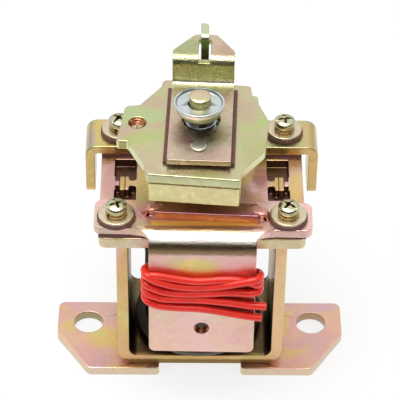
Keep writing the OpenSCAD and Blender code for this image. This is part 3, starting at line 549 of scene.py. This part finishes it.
guide_finish = plated(
    "plated_bracket", linear(216, 202, 172), seed=7, bump=0.5, specks=0.45, mottle=0.2, edge=(LIME, 0.4),
    edge_axis="X", flat=False,
    washes=[(linear(226, 188, 176), 50, 0.46, 0.6, 0.6),
            (linear(226, 210, 182), 60, 0.5, 0.65, 0.5)],
    spots=[(ROSE, (-6, -11, 98.8), (3.2, 2.6, 3), 0.8),  # rose at the front left
           (linear(168, 156, 98), (3, -8.5, 98.8), (7, 3.4, 3), 0.6),  # duller middle, right
           (linear(168, 150, 98), (-6, -4, 98.8), (2.6, 5, 3), 0.5),  # duller middle, left
           (linear(178, 190, 136), (-6, 25, 109), (7, 8, 4), 0.85),  # upper flat: green, left
           (linear(204, 166, 152), (9, 24, 109), (6, 5, 3), 0.7),  # upper flat: pink, right
           (ROSE, (8, 11, 98.8), (3, 4, 3), 0.35),  # before the bend
           (GREEN, (6, 19, 103), (7, 4, 3), 0.7)],  # right half of the riser
    boxes=[(linear(168, 182, 108), (-14, 15, 99.4), (14, 20.2, 107.4), 1.6, 0.8, 3.6),  # riser: painted dark green reflection
           (linear(255, 250, 236), (-14, 16.0, 98.2), (14, 19, 100.3), 1.0, 0.95, 0.8),  # painted white highlight band at its foot
           (linear(238, 236, 176), (-14, 16.4, 99.7), (14, 20.2, 107.2), 5.0, 0.6, 7.0),  # riser: painted glints, pale flecks
           (linear(60, 64, 30), (-14, 16.4, 99.7), (14, 20.2, 107.2), 4.0, 0.36, -7.0),  # riser: painted dark reflection flecks
           (linear(104, 96, 56), (-9, -13, 98), (10, -4, 99.4), 3.0, 0.4, 6.0)])  # shade round the rivet
rear_finish = plated(
    "plated_rear_terminal", linear(202, 196, 146), seed=8, edge=(linear(216, 178, 112), 0.65), edge_axis="Y",
    flat=False,
    washes=[(linear(188, 198, 142), 50, 0.46, 0.6, 0.6),
            (TAN, 56, 0.52, 0.64, 0.6)],
    spots=[(GOLD, (-33, 19, 76.5), (7, 9, 4), 0.7),  # gold at the left end
           (LILAC, (-39, 17, 76), (3, 6, 5), 0.6),  # left bend
           (PEACH, (-40, 20, 66), (3, 12, 9), 0.8),  # left leg
           (PEACH, (40, 20, 66), (3, 12, 9), 0.7)])  # right leg
strip_finish = plated(
    "plated_guide_strip", linear(208, 216, 178), seed=9,
    washes=[(CREAM, 60, 0.5, 0.65, 0.4)],
    boxes=[(linear(84, 128, 58), (-5, 26, 106.5), (6, 28.2, 110.4), 1.2, 0.8, 1.5),  # painted green reflection under the hook
           (DARK, (-5, 24, 70), (6, 28, 107), 1.5, 0.85, 0.5)])  # painted shade behind the bracket
stud_finish = plated(
    "plated_stud", linear(222, 202, 168), seed=10, rough=0.3, bump=0.1,
    washes=[(GREEN, 160, 0.5, 0.65, 0.5)],
    boxes=[(linear(150, 146, 70), (-6, -6, 100), (6, 4, 108.9), 0.3, 0.75, 0.5)])  # painted shade and reflection on the front of the stud
blue_zinc = plated(
    "bluish_zinc", linear(212, 220, 224), seed=11, rough=0.34, bump=0.05, specks=0.1, mottle=0.05,
    washes=[(linear(222, 226, 220), 60, 0.45, 0.6, 0.6)],
    boxes=[(linear(138, 156, 126), (-12, -14, 101.9), (12, -3, 105.3), 0.5, 0.9, 0.5),  # painted shade and reflection on the cup's wall
           (linear(30, 28, 24), (-12, -14, 100), (12, 14, 101.9), 0.2, 0.95, 0.3),  # painted shade inside under the cup
           (linear(120, 132, 130), (-12, -2, 105.62), (12, 14, 106.3), 0.15, 0.8, 0.3)])  # painted shade at the rear of the sunk floor
screw_zinc = plated(
    "screw_zinc", linear(204, 198, 156), seed=13, rough=0.2, bump=0.06, specks=0.1,
    washes=[(linear(212, 210, 186), 90, 0.45, 0.6, 0.6)],
    # painted shade in the cross recess of each head
    spots=[(linear(66, 56, 32), (x, y, HEAD_TOP - 1.4), (2.9, 2.9, 0.85), 1.0) for x, y, turn in SCREWS])
copper = plated(
    "copper_bar", linear(210, 144, 156), seed=12, rough=0.34, bump=0.3, specks=0.5, mottle=0.2,
    washes=[(linear(190, 112, 120), 90, 0.42, 0.6, 0.7),
            (linear(218, 158, 158), 120, 0.55, 0.7, 0.5)],
    boxes=[(linear(206, 156, 122), (-18, -25.2, 79.2), (20, -12, 81), 0.8, 0.85, 1.2)])  # painted shade and reflection of the block on the top
claw_copper = plain("rubbed_claws", linear(238, 176, 160), 1.0, 0.3, 0.25, 400, 0.2, dark=linear(208, 146, 124))
silver = plain("silver_zinc", linear(196, 192, 176), 1.0, 0.36, 0.16, 500)
washer_zinc = plain("washer_zinc", linear(222, 208, 178), 1.0, 0.32, 0.1, 400)
lock_zinc = plain("lock_washer_zinc", linear(200, 168, 112), 1.0, 0.26, 0.25, 600)
brass = plain("brass_sleeve", linear(214, 178, 104), 1.0, 0.3)
steel = plain("bare_steel", linear(150, 150, 152), 1.0, 0.35)
wire_steel = plain("spring_wire", linear(196, 202, 214), 1.0, 0.2)
fibre = plain("pressed_fibre", linear(104, 62, 56), 0.0, 0.55, 0.4, 900, 0.5, 4000.0)
red_lead = plain("red_insulation", linear(226, 40, 24), 0.0, 0.34, 0.14, 300, 0.06, 900.0, coat=0.2)
tape = plain("varnished_tape", linear(52, 54, 46), 0.0, 0.4, 0.3, 500, 0.2)
moulding = plain("bobbin_moulding", linear(84, 78, 66), 0.0, 0.42, 0.2, 500, 0.15)
thread_finish = plain("cut_thread", linear(214, 150, 104), 1.0, 0.28, 0.3, 700, 0.1, dark=linear(150, 92, 60))


# ---------------------------------------------------------------- pieces that keep the CAD shape
PLATES = {"yoke": (yoke_plate, 0.3), "top_plate": (top_finish, 0.3), "front_terminal": (tab_plate, 0.3),
          "rear_terminal": (rear_finish, 0.3), "bridge_plate": (bridge_finish, 0.4),
          "front_block": (block_finish, 0.3), "rear_block": (block_finish, 0.3),
          "guide_bracket": (guide_finish, 0.2), "guide_strip": (strip_finish, 0.2),
          "front_contact": (copper, 0.3), "rear_contact": (copper, 0.3)}  # finish and width of the broken edge, mm
for node, (material, width) in PLATES.items():
    broken_edges(node, width, material)

UNCHANGED = {"core": steel, "guide_sleeve": brass, "coil_seat_washer": fibre, "front_insulator": fibre,
             "rear_insulator": fibre, "screw_bushes": fibre, "guide_strip_rivets": silver, "plunger": steel,
             "bridge_bush": fibre, "spring_seat": silver, "bridge_fibre_sheet": fibre}
for node, material in UNCHANGED.items():
    data = frame["nodes"][node].data
    data.materials.clear()
    data.materials.append(material)


# ---------------------------------------------------------------- feet
FOOT_OUTLINE = ((14.4, 10.3, 0.01), (14.4, -23.2, 1.5), (39.5, -23.2, 2.5), (51.0, -5.5, 2.5), (51.0, 10.3, 2.5))
FOOT_HOLE, FOOT_HOLE_RADIUS = (40.0, 0.0), 5.25
FOOT_WALL = ((0.0, 0.25), (0.0, 3.25), (0.07, 3.43), (0.25, 3.5), (0.6, 3.5))  # growth of the hole, height
FOOT_RIM = ((0.8, 3.5), (0.4, 3.5), (0.12, 3.38), (0.0, 3.1), (0.0, 0.4), (0.12, 0.12), (0.4, 0.0), (0.8, 0.0))
FOOT_RETURN = ((0.6, 0.0), (0.25, 0.0), (0.07, 0.07))


def rounded_outline(corners, steps=9):
    """Closed outline through corners (x, y, radius). An arc about a corner's middle is (start sin((1 - w) b) +
    stop sin(w b)) / sin b, where start and stop are the spokes to its ends, b is its angle and w runs from 0 to 1."""
    here, radius = np.split(np.array(corners), [2], axis=1)
    back, ahead = unit(np.roll(here, 1, 0) - here), unit(np.roll(here, -1, 0) - here)
    half = np.arccos((back * ahead).sum(1, keepdims=True)) / 2
    middle = unit(back + ahead) * radius / np.sin(half)
    start, stop = back * radius / np.tan(half) - middle, ahead * radius / np.tan(half) - middle
    bend = math.pi - 2 * half[:, None]
    w = np.linspace(0, 1, steps)[None, :, None]
    arcs = (start[:, None] * np.sin((1 - w) * bend) + stop[:, None] * np.sin(w * bend)) / np.sin(bend)
    return ((here + middle)[:, None] + arcs).reshape(-1, 2)


def divided(line, step):
    """Closed outline whose long sides are cut into even parts no shorter than step."""
    gap = np.roll(line, -1, 0) - line
    parts = np.maximum((np.linalg.norm(gap, axis=1) / step).astype(int), 1)
    number = np.arange(parts.sum()) - np.repeat(np.cumsum(parts) - parts, parts)
    share = (number / np.repeat(parts, parts))[:, None]
    return np.repeat(line, parts, 0) + share * np.repeat(gap, parts, 0)


def foot(side):
    """A stamped foot: rings that run from the hole's wall over a small round to the outline and back underneath. A
    ring on the hole is centre + spoke (radius + growth), and one on the rim is outline - outward normal x shrinkage."""
    line = divided(rounded_outline(FOOT_OUTLINE), 1.2)
    tangent = unit(np.roll(line, -1, 0) - np.roll(line, 1, 0))
    outward = np.stack([tangent[:, 1], -tangent[:, 0]], -1)
    spoke = unit(line - FOOT_HOLE)

    def rings(place, steps):
        return [np.column_stack([place(grow), np.full(len(line), z)]) for grow, z in steps]

    def on_hole(grow):
        return FOOT_HOLE + spoke * (FOOT_HOLE_RADIUS + grow)

    rows = rings(on_hole, FOOT_WALL) + rings(lambda shrink: line - outward * shrink, FOOT_RIM)
    points, faces = surface(rows + rings(on_hole, FOOT_RETURN), True)
    return points * (side, 1, 1), faces[:, ::-side]


stand_in("left_foot", foot(-1), foot_plate)
stand_in("right_foot", foot(1), foot_plate)


# ---------------------------------------------------------------- screws and washers
HEAD_RADIUS, DOME_RISE, DOME_SHARE = 3.55, 1.15, 0.985  # the dome is the middle share of an ellipse
HEAD_SIDE = ((3.55, 81.4), (3.52, 80.8), (3.45, 80.5), (3.3, HEAD_LOW), (2.0, HEAD_LOW), (2.0, 68.0), (1.7, 67.7),
             (0.0, 67.7))
CUT_ANGLE = math.radians(7)  # half the gap of a spring washer


def screw_head(x0, y0, turn):
    """Pan head with a cross recess and a slot. Top: z = dome(r), where dome is part of an ellipse; inside the recess it
    sinks to a floor that rises with the distance from the middle. Then the side, the underside and the shank."""
    a = np.linspace(0, 2 * np.pi, 192, endpoint=False)
    r = HEAD_RADIUS * np.concatenate([[0.0], np.linspace(0.03, 0.93, 50), [0.955, 0.975, 0.99, 1.0]])
    fall = (1 - np.sqrt(1 - (DOME_SHARE * r / HEAD_RADIUS) ** 2)) / (1 - math.sqrt(1 - DOME_SHARE ** 2))
    r, a2 = np.meshgrid(r, a, indexing="ij")
    high = np.broadcast_to((HEAD_TOP - DOME_RISE * fall)[:, None], r.shape)
    along, across = r * np.cos(a2 - math.radians(turn)), r * np.sin(a2 - math.radians(turn))

    def arm(u, v):
        inside = eased((0.66 - 0.1 * np.abs(u) - np.abs(v)) / 0.16) * eased((2.35 - np.abs(u)) / 0.3)
        floor = HEAD_TOP - 1.9 + 0.5 * np.abs(u)
        return inside * np.maximum(high - floor, 0)

    slot = eased((0.42 - np.abs(across)) / 0.14) * np.maximum(high - (HEAD_TOP - 0.85), 0)
    z = high - np.maximum(np.maximum(arm(along, across), arm(across, along)), slot)
    top = np.stack([x0 + r * np.cos(a2), y0 + r * np.sin(a2), z], -1)
    p, q = np.array(HEAD_SIDE).T[:, :, None]
    rest = np.stack([x0 + p * np.cos(a), y0 + p * np.sin(a), q + 0 * a], -1)
    points, faces = surface(np.concatenate([top, rest]))
    return points, faces[:, ::-1]


def split_washer(x0, y0, turn):
    """A ring of square wire cut at one place: the section is carried from just past the cut to just before it, x = x0 +
    r cos a, y = y0 + r sin a, and climbs a little with a."""
    a = np.radians(turn) + np.linspace(CUT_ANGLE, 2 * np.pi - CUT_ANGLE, 72)
    section = rounded_ring(2.08, 3.5, -0.7, 0.7, 0.18, 3)
    middle = 0.5 * (WASHER_TOP + HEAD_LOW) + np.linspace(-0.08, 0.08, len(a))[:, None]
    return closed_tube(np.stack([x0 + np.outer(np.cos(a), section[:, 0]), y0 + np.outer(np.sin(a), section[:, 0]),
                                 middle + section[:, 1]], -1))


def fibre_ring(x0, y0, seed):
    """A punched fibre washer: a rounded ring whose outer radius wanders, r = R (1 + sum of three small waves)."""
    a = np.linspace(0, 2 * np.pi, 120, endpoint=False)
    radius, z = rounded_ring(2.1, 6.4, STRIP_TOP, FIBRE_TOP, 0.2, 3).T
    waves = 0.004 * np.sin(5 * a + seed) + 0.003 * np.sin(11 * a + 2 * seed) + 0.002 * np.sin(23 * a + 3 * seed)
    r = radius * (1 + (radius - 2.1) / 4.3 * waves[:, None])
    return surface(np.stack([x0 + np.cos(a)[:, None] * r, y0 + np.sin(a)[:, None] * r, np.tile(z, (len(a), 1))], -1),
                   True)


stand_in("terminal_screws", merge([screw_head(*place) for place in SCREWS]), screw_zinc, 32)
stand_in("spring_washers", merge([split_washer(x, y, turn + 200) for x, y, turn in SCREWS]), lock_zinc)
steel_ring = rounded_ring(2.1, 6.0, FIBRE_TOP, WASHER_TOP, 0.28)
stand_in("flat_washers", merge([turned(steel_ring, 96, (x, y)) for x, y, turn in SCREWS]), washer_zinc)
stand_in("fibre_washers", merge([fibre_ring(x, y, turn) for x, y, turn in SCREWS]), fibre)


# ---------------------------------------------------------------- red leads, wound round the tab
# Points (right, back, up) of each route, before the terminal's turn: from the winding to the tab's left edge, then over
# its front and behind it, round again, and to the cut end at the right
UPPER_LEAD = ((-11.5, -13.1, 62.4), (-12.2, -15.2, 62.3), (-12.9, -18.5, 61.8), (-13.6, -23.0, 60.9),
              (-15.0, -27.0, 60.2), (-17.2, -29.8, 60.0), (-19.0, -31.6, 60.5), (-19.15, -34.0, 61.3),
              (-18.1, -36.4, 61.3), (-15.6, -36.9, 59.8), (-11.35, -36.8, 58.1), (-7.1, -36.5, 56.9),
              (-1.4, -36.3, 56.5), (4.3, -36.6, 57.3), (9.9, -37.3, 59.1), (15.6, -37.4, 60.7), (18.4, -36.6, 61.0),
              (19.3, -34.2, 60.3), (19.2, -32.0, 59.0), (17.9, -30.2, 58.3), (10, -29.4, 58.0), (0, -29.0, 57.6),
              (-10, -29.4, 57.0), (-17.9, -30.2, 56.4), (-19.1, -32.0, 56.6), (-19.1, -34.6, 57.0),
              (-17.9, -36.2, 56.6), (-15.6, -36.3, 55.4), (-12.8, -36.3, 54.3), (-8.5, -36.3, 53.65),
              (-3.1, -36.3, 53.6), (2.9, -36.3, 54.0), (7.2, -36.3, 54.4), (11.4, -36.3, 54.5), (15.7, -36.4, 54.4),
              (18.4, -36.0, 54.6), (19.3, -34.0, 54.4), (19.2, -32.0, 53.4), (17.9, -30.2, 52.6), (10, -29.4, 52.0),
              (0, -29.0, 51.2), (-10, -29.4, 50.3), (-17.9, -30.2, 49.9), (-19.05, -32.0, 49.8),
              (-19.05, -34.6, 49.9), (-17.9, -36.2, 49.6), (-15.6, -36.3, 48.2), (-12.8, -36.3, 47.5),
              (-7.0, -36.3, 47.0), (-1.3, -36.3, 46.8), (4.5, -36.3, 45.9), (10.2, -36.3, 44.65), (16.0, -36.3, 43.5),
              (18.9, -36.3, 43.1), (20.2, -36.3, 43.0))
LOWER_LEAD = ((-11.5, -13.1, 58.9), (-12.2, -15.2, 58.8), (-12.9, -18.5, 58.4), (-13.6, -23.0, 57.8),
              (-15.0, -27.0, 57.3), (-17.2, -29.8, 57.3), (-18.9, -31.4, 57.9), (-19.1, -33.6, 59.3),
              (-18.2, -36.0, 61.0), (-16.4, -36.3, 61.6), (-13.6, -36.3, 61.3), (-9.9, -36.3, 60.6),
              (-5.5, -36.3, 59.8), (-1.4, -36.3, 59.4), (2.5, -36.3, 59.7), (7.1, -36.3, 60.3), (12.7, -36.3, 60.0),
              (16.4, -36.2, 58.9), (18.4, -35.9, 57.8), (19.25, -34.0, 57.2), (19.2, -31.8, 56.3),
              (17.5, -30.2, 55.6), (10, -29.4, 55.1), (0, -29.0, 54.7), (-10, -29.4, 54.0), (-17.9, -30.2, 53.3),
              (-19.05, -32.0, 53.2), (-19.05, -34.6, 53.4), (-17.9, -36.2, 53.1), (-15.6, -36.3, 52.0),
              (-12.8, -36.3, 51.1), (-7.1, -36.3, 50.9), (-1.3, -36.3, 50.9), (4.4, -36.3, 50.4), (10.1, -36.3, 49.7),
              (15.9, -36.3, 48.7), (21.5, -36.3, 48.3))
LEAD_RADIUS = 1.34
for node, route in (("lead_1", UPPER_LEAD), ("lead_2", LOWER_LEAD)):
    points, faces = swept(smooth_path(route, 9), LEAD_RADIUS, 20)
    stand_in(node, (on_terminal(points), faces), red_lead)


# ---------------------------------------------------------------- tab shoulders and claws
TAB_HALF, TAB_FILLET = 17.85, 5.8
BEND_MIDDLE, BEND_OUTSIDE = (-29.4, 71.0), 5.5  # y and z of the tab's bend, and its outer radius
# Section of the web: 0 at its root and 1 at its free edge, radius on the bend, rounding of the free edge
WEB_SECTION = ((0, 5.53, 0), (1, 5.53, 0.3), (1, 5.44, 0.09), (1, 5.23, 0), (1, 2.6, 0), (1, 2.4, 0.09), (1, 2.28, 0.3),
               (0, 2.28, 0))
WEB_ROOT = 16.4
CLAW_PATH = ((20.9, 0, 75.2), (20.6, 0, 76.2), (20.2, 0, 77.4), (19.4, 0, 78.4), (18.3, 0, 78.82), (16.6, 0, 78.86),
             (14.9, 0, 78.86))
CLAW_HALF, CLAW_THICK = 1.9, 0.58  # half its width and half its thickness
BAR_MIDDLE, BAR_TURN = (1.1, -22.2), math.radians(-2.0)  # of the contact bar on the terminal


def shoulder(side):
    """Web between an ear and the tab: the sheet's bend, carried outwards by a fillet of the flat blank. With t along
    the fillet, width = half tab + R (1 - sin t) and arc length = R (1 - cos t); that length is wound on the bend."""
    t = np.radians([0, 0, 1.5, 4, 8, 14, 21, 29, 38, 47, 56, 65, 73, 80, 86, 90])
    wide = TAB_HALF + TAB_FILLET * (1 - np.sin(t)) + 0.01
    turn = (TAB_FILLET * (1 - np.cos(t)) / BEND_OUTSIDE)[:, None]
    free, radius, inset = np.array(WEB_SECTION).T
    x = np.where(free > 0, wide[:, None] - inset, WEB_ROOT)
    y, z = BEND_MIDDLE[0] - radius * np.sin(turn), BEND_MIDDLE[1] + radius * np.cos(turn)
    y[0] += 0.9
    points, faces = closed_tube(np.stack([side * x, y, z], -1))
    return on_terminal(points), [f[::side] for f in faces]


def claw(side):
    """Hooked tongue over one end of the contact bar: an oval section, whose cos a and sin a are raised to powers below
    1 and so drawn out to a rounded rectangle, carried along an S-shaped path. At the tip its size falls like the root
    of 1 - (1 - distance to the tip / half width) squared, which is a quarter circle."""
    path = smooth_path(CLAW_PATH, 8)
    tangent = unit(np.gradient(path, axis=0))
    normal = np.stack([tangent[:, 2], -tangent[:, 1], -tangent[:, 0]], -1)[:, None]
    to_tip = np.append(np.cumsum(np.linalg.norm(np.diff(path[::-1], axis=0), axis=1))[::-1], 0.0)
    close = np.sqrt(np.clip(1 - (1 - np.clip(to_tip / CLAW_HALF, 0, 1)) ** 2, 0, 1))[:, None, None]
    a = np.linspace(0, 2 * np.pi, 24, endpoint=False)[None, :, None]
    across = np.sign(np.cos(a)) * np.abs(np.cos(a)) ** 0.55 * np.array([0, 1.0, 0])
    up = np.sign(np.sin(a)) * np.abs(np.sin(a)) ** 0.7 * normal
    points, faces = closed_tube(path[:, None] + CLAW_THICK * close ** 0.5 * up + CLAW_HALF * close * across, False)
    x, y = side * points[:, 0], points[:, 1]
    turned_x = BAR_MIDDLE[0] + x * math.cos(BAR_TURN) - y * math.sin(BAR_TURN)
    turned_y = BAR_MIDDLE[1] + x * math.sin(BAR_TURN) + y * math.cos(BAR_TURN)
    return on_terminal(np.stack([turned_x, turned_y, points[:, 2]], -1)), [f[::side] for f in faces]


for side, word in ((-1, "left"), (1, "right")):
    mesh_piece("tab_shoulder_" + word, *shoulder(side), tab_plate, "frame", slot="plated_steel", smooth=35)
    mesh_piece("bar_claw_" + word, *claw(side), claw_copper, "frame", slot="plated_steel", smooth=60)


# ---------------------------------------------------------------- springs, cup, stud and rivet
# Closed profiles of (radius, height), from the axis or the bore round the outside
CUP_OUTLINE = ((3.75, 100.9), (4.3, 100.9), (4.45, 101.0), (4.5, 101.85), (5.6, 101.95), (6.3, 102.08), (6.8, 102.35),
               (7.2, 102.85), (7.55, 103.45), (7.9, 104.3), (8.2, 105.15), (8.42, 105.9), (8.56, 106.35), (8.5, 106.58),
               (8.3, 106.7), (7.96, 106.7), (7.8, 106.6), (7.73, 106.4), (7.68, 106.0), (7.6, 105.74), (7.4, 105.56),
               (6.9, 105.5), (5.0, 105.62), (4.2, 105.72), (3.75, 105.75))
STUD = ((0.0, 76.5), (3.2, 76.5), (3.6, 76.9), (3.6, 109.0), (3.56, 109.12), (3.02, 109.44), (2.85, 109.48),
        (0.0, 109.5))
RIVET = ((0.0, 96.8), (1.68, 96.8), (1.68, 98.8), (2.55, 98.8), (2.68, 98.95), (2.7, 99.15), (2.64, 99.45),
         (2.42, 99.62), (2.0, 99.68), (0.0, 99.7))
CUP_FLOOR, CUP_TILT, STUD_LEFT = 101.9, math.radians(4), 0.4

spring = stand_in("contact_spring", coiled(AXIS, 4.75, 1.3, 92.5, 100.8, 3.5, -100), wire_steel)
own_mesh(spring)
spring = stand_in("return_spring", coiled(AXIS, 2.75, 0.9, 15.5, 49.9, 13.0, 0, 28, 10), wire_steel)
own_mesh(spring)


def sprung_cup():
    """Turned cup: flat bottom, round wall, raised rim and a sunk floor. It sits a little askew and to the left on its
    spring: with h growing from 0 to 1 over the first 2 mm above the floor, z falls by tan(tilt) y eased(h) and x by
    0.2 + 0.5 h."""
    points, faces = turned(CUP_OUTLINE, 128, AXIS)
    height = np.clip((points[:, 2] - CUP_FLOOR) / 2.0, 0, 1)
    points[:, 2] -= math.tan(CUP_TILT) * (points[:, 1] - AXIS[1]) * eased(height)
    points[:, 0] -= 0.2 + 0.5 * height
    return points, faces


stand_in("spring_cup", sprung_cup(), blue_zinc, 50)
stand_in("stud", turned(STUD, 96, (AXIS[0] - STUD_LEFT, AXIS[1])), stud_finish, 25)
stand_in("plunger_collar", turned(rounded_ring(3.66, 8.0, 86.5, 89.5, 0.4), 96, AXIS), stud_finish)
stand_in("stop_ring", turned(rounded_ring(5.8, 12.0, 72.1, 74.1, 0.3), 96, AXIS), stud_finish)
points, faces = turned(RIVET, 72)
stand_in("guide_bracket_rivet", (placed(points, GUIDE_TURN, -0.3, -13.8), faces), silver, 35)


# ---------------------------------------------------------------- coil
COIL_LOW, COIL_HIGH, COIL_RADIUS, COIL_BORE, TAPE_PITCH = 11.72, 65.48, 18.99, 9.06, 7.5
BOBBIN = ((7.72, 9.5), (21.9, 9.5), (22.3, 9.75), (22.4, 10.1), (22.4, 11.1), (22.3, 11.45), (21.9, 11.7), (9.0, 11.7),
          (9.0, 65.5), (21.9, 65.5), (22.3, 65.75), (22.4, 66.1), (22.4, 67.1), (22.3, 67.45), (21.9, 67.7),
          (7.72, 67.7))


def taped_coil():
    """The winding under varnished tape: r = R - step * fraction(z / pitch + a / 2 pi), so each turn of tape laps the
    last, less a shallow round at both ends, and closed by its own bore."""
    a = np.linspace(0, 2 * np.pi, 128, endpoint=False)
    z = np.linspace(COIL_LOW, COIL_HIGH, 220)[:, None]
    lap = (z / TAPE_PITCH + a / (2 * np.pi)) % 1.0
    to_end = np.minimum(z - COIL_LOW, COIL_HIGH - z)
    r = COIL_RADIUS - 0.16 * np.minimum(lap, (1 - lap) * 9) - 0.25 * np.exp(-to_end / 0.5)
    z = np.concatenate([z, [[COIL_HIGH], [COIL_LOW]]]) + 0 * a
    r = np.concatenate([r, np.full((2, len(a)), COIL_BORE)])
    return surface(np.stack([AXIS[0] + r * np.cos(a), AXIS[1] + r * np.sin(a), z], -1), True)


stand_in("coil_winding", taped_coil(), tape)
stand_in("bobbin", turned(BOBBIN, 128, AXIS), moulding, 50)


# ---------------------------------------------------------------- threads cut in the tab and in the bridge's ear
def thread(mount, pitch, depth, along, across):
    """Wall of a tapped hole: r = major - depth * triangle(s / pitch - a / 2 pi), with both mouths countersunk, and a
    plain outer wall that lies just inside the plate."""
    major, length = MOUNT[mount]["dims"]["r_mm"], MOUNT[mount]["dims"]["length_mm"]
    centre = np.array(MOUNT[mount]["pos_m"]) / MM
    a = np.linspace(0, 2 * np.pi, 72, endpoint=False)
    s = np.linspace(-length / 2 + 0.02, length / 2 - 0.02, 72)[:, None]
    wave = 1 - np.abs(2 * ((s / pitch - a / (2 * np.pi)) % 1.0) - 1)
    mouth = np.clip((length / 2 - np.abs(s)) / 0.5, 0, 1)
    r = major - depth * mouth * np.clip(1.25 * wave - 0.1, 0, 1)
    r = np.concatenate([r, np.full((2, len(a)), major + 0.03)])[..., None]
    s = np.concatenate([s, s[-1:], s[:1]])[..., None]
    along, across = np.array(along, float), np.array(across, float)
    spoke = np.outer(np.cos(a), across) + np.outer(np.sin(a), np.cross(along, across))
    points, faces = surface(centre + s * along + r * spoke, True)
    return points, faces[:, ::-1]


right = (math.cos(TERMINAL_TURN), math.sin(TERMINAL_TURN), 0)
back = (-right[1], right[0], 0)
mesh_piece("tab_screw_thread", *thread("tab_thread", 0.8, 0.42, back, right), thread_finish, "frame",
           slot="plated_steel")
mesh_piece("ear_screw_thread", *thread("ear_thread", 1.0, 0.5, (0, 0, 1), (1, 0, 0)), thread_finish, "bridge",
           slot="plated_steel")


# ---------------------------------------------------------------- floor and light
def lay_floor():
    """A white floor that keeps a soft shadow. The camera sees part of it as plain light, and shiny plates see it dark
    beyond a line in front of the relay."""
    mesh = bpy.data.meshes.new("floor")
    mesh.from_pydata([(-3, -3, 0), (3, -3, 0), (3, 3, 0), (-3, 3, 0)], [], [(0, 1, 2, 3)])
    floor = bpy.data.objects.new("floor", mesh)
    bpy.context.scene.collection.objects.link(floor)

    material = bpy.data.materials.new("white_floor")
    material.use_nodes = True
    tree = material.node_tree
    net = Net(tree)
    shader = tree.nodes["Principled BSDF"]
    shader.inputs["Base Color"].default_value = (0.88, 0.88, 0.88, 1)
    shader.inputs["Roughness"].default_value = 0.8
    shader.inputs["Specular IOR Level"].default_value = 0.1
    glow = net.add("ShaderNodeEmission", {"Color": (1, 1, 1, 1), "Strength": 1.0}).outputs[0]
    dark = net.add("ShaderNodeEmission", {"Color": (0.03, 0.03, 0.03, 1), "Strength": 1.0}).outputs[0]
    path = net.add("ShaderNodeLightPath").outputs
    seen = net.math("MULTIPLY", net.math("MAXIMUM", path["Is Camera Ray"], path["Is Glossy Ray"]), 0.78)
    bright = net.add("ShaderNodeMixShader", {0: seen, 1: shader.outputs[0], 2: glow}).outputs[0]
    front = net.band(net.split(net.add("ShaderNodeTexCoord").outputs["Object"])[1], -0.13, -0.19)
    front = net.math("MULTIPLY", front, path["Is Glossy Ray"])
    mixed = net.add("ShaderNodeMixShader", {0: front, 1: bright, 2: dark}).outputs[0]
    tree.links.new(mixed, tree.nodes["Material Output"].inputs[0])
    mesh.materials.append(material)


def light_world():
    """A pale world: white to the camera, plain grey to dull surfaces, and to shiny ones a sky that brightens with
    height, a bright patch overhead in front and a dark one low in front."""
    world = bpy.data.worlds.new("studio")
    bpy.context.scene.world = world
    world.use_nodes = True
    net = Net(world.node_tree)
    x, y, height = net.split(net.add("ShaderNodeTexCoord").outputs["Generated"])
    sky = net.ramp(net.band(height, -0.1, 1.0), ((0.0, 0.5), (0.45, 0.9), (0.8, 1.0), (1.0, 1.0)))
    shine = net.math("MULTIPLY", net.band(y, 0.3, 0.0), net.band(height, 0.66, 0.76))
    sky = net.mix(shine, sky, (1.45, 1.45, 1.42, 1))
    shade = net.math("MULTIPLY", net.band(y, 0.25, -0.25), net.band(height, 0.79, 0.68))
    sky = net.mix(shade, sky, (0.05, 0.05, 0.05, 1))
    path = net.add("ShaderNodeLightPath").outputs
    light = net.mix(path["Is Glossy Ray"], (0.62, 0.62, 0.62, 1), sky)
    light = net.mix(path["Is Camera Ray"], light, (1, 1, 1, 1))
    net.feed(world.node_tree.nodes["Background"], {"Color": light})


def add_lamp(name, place, aim, size, power, shown=False):
    """A soft rectangular lamp of the given size in metres and power in watts, mirrored in the plates if shown."""
    data = bpy.data.lights.new(name, "AREA")
    data.shape, data.size, data.size_y, data.energy = "RECTANGLE", size[0], size[1], power
    lamp = bpy.data.objects.new(name, data)
    lamp.location = place
    lamp.visible_glossy = shown
    lamp.rotation_euler = (Vector(aim) - Vector(place)).to_track_quat("-Z", "Y").to_euler()
    bpy.context.scene.collection.objects.link(lamp)


lay_floor()
light_world()
add_lamp("overhead", (-0.1, -0.1, 0.8), (0, 0, 0.06), (0.62, 0.42), 4.2, shown=True)
add_lamp("left_soft", (-0.8, -0.3, 0.4), (0, 0, 0.05), (0.35, 0.6), 2.0)
add_lamp("right_soft", (0.8, -0.2, 0.35), (0, 0, 0.05), (0.3, 0.5), 1.5)
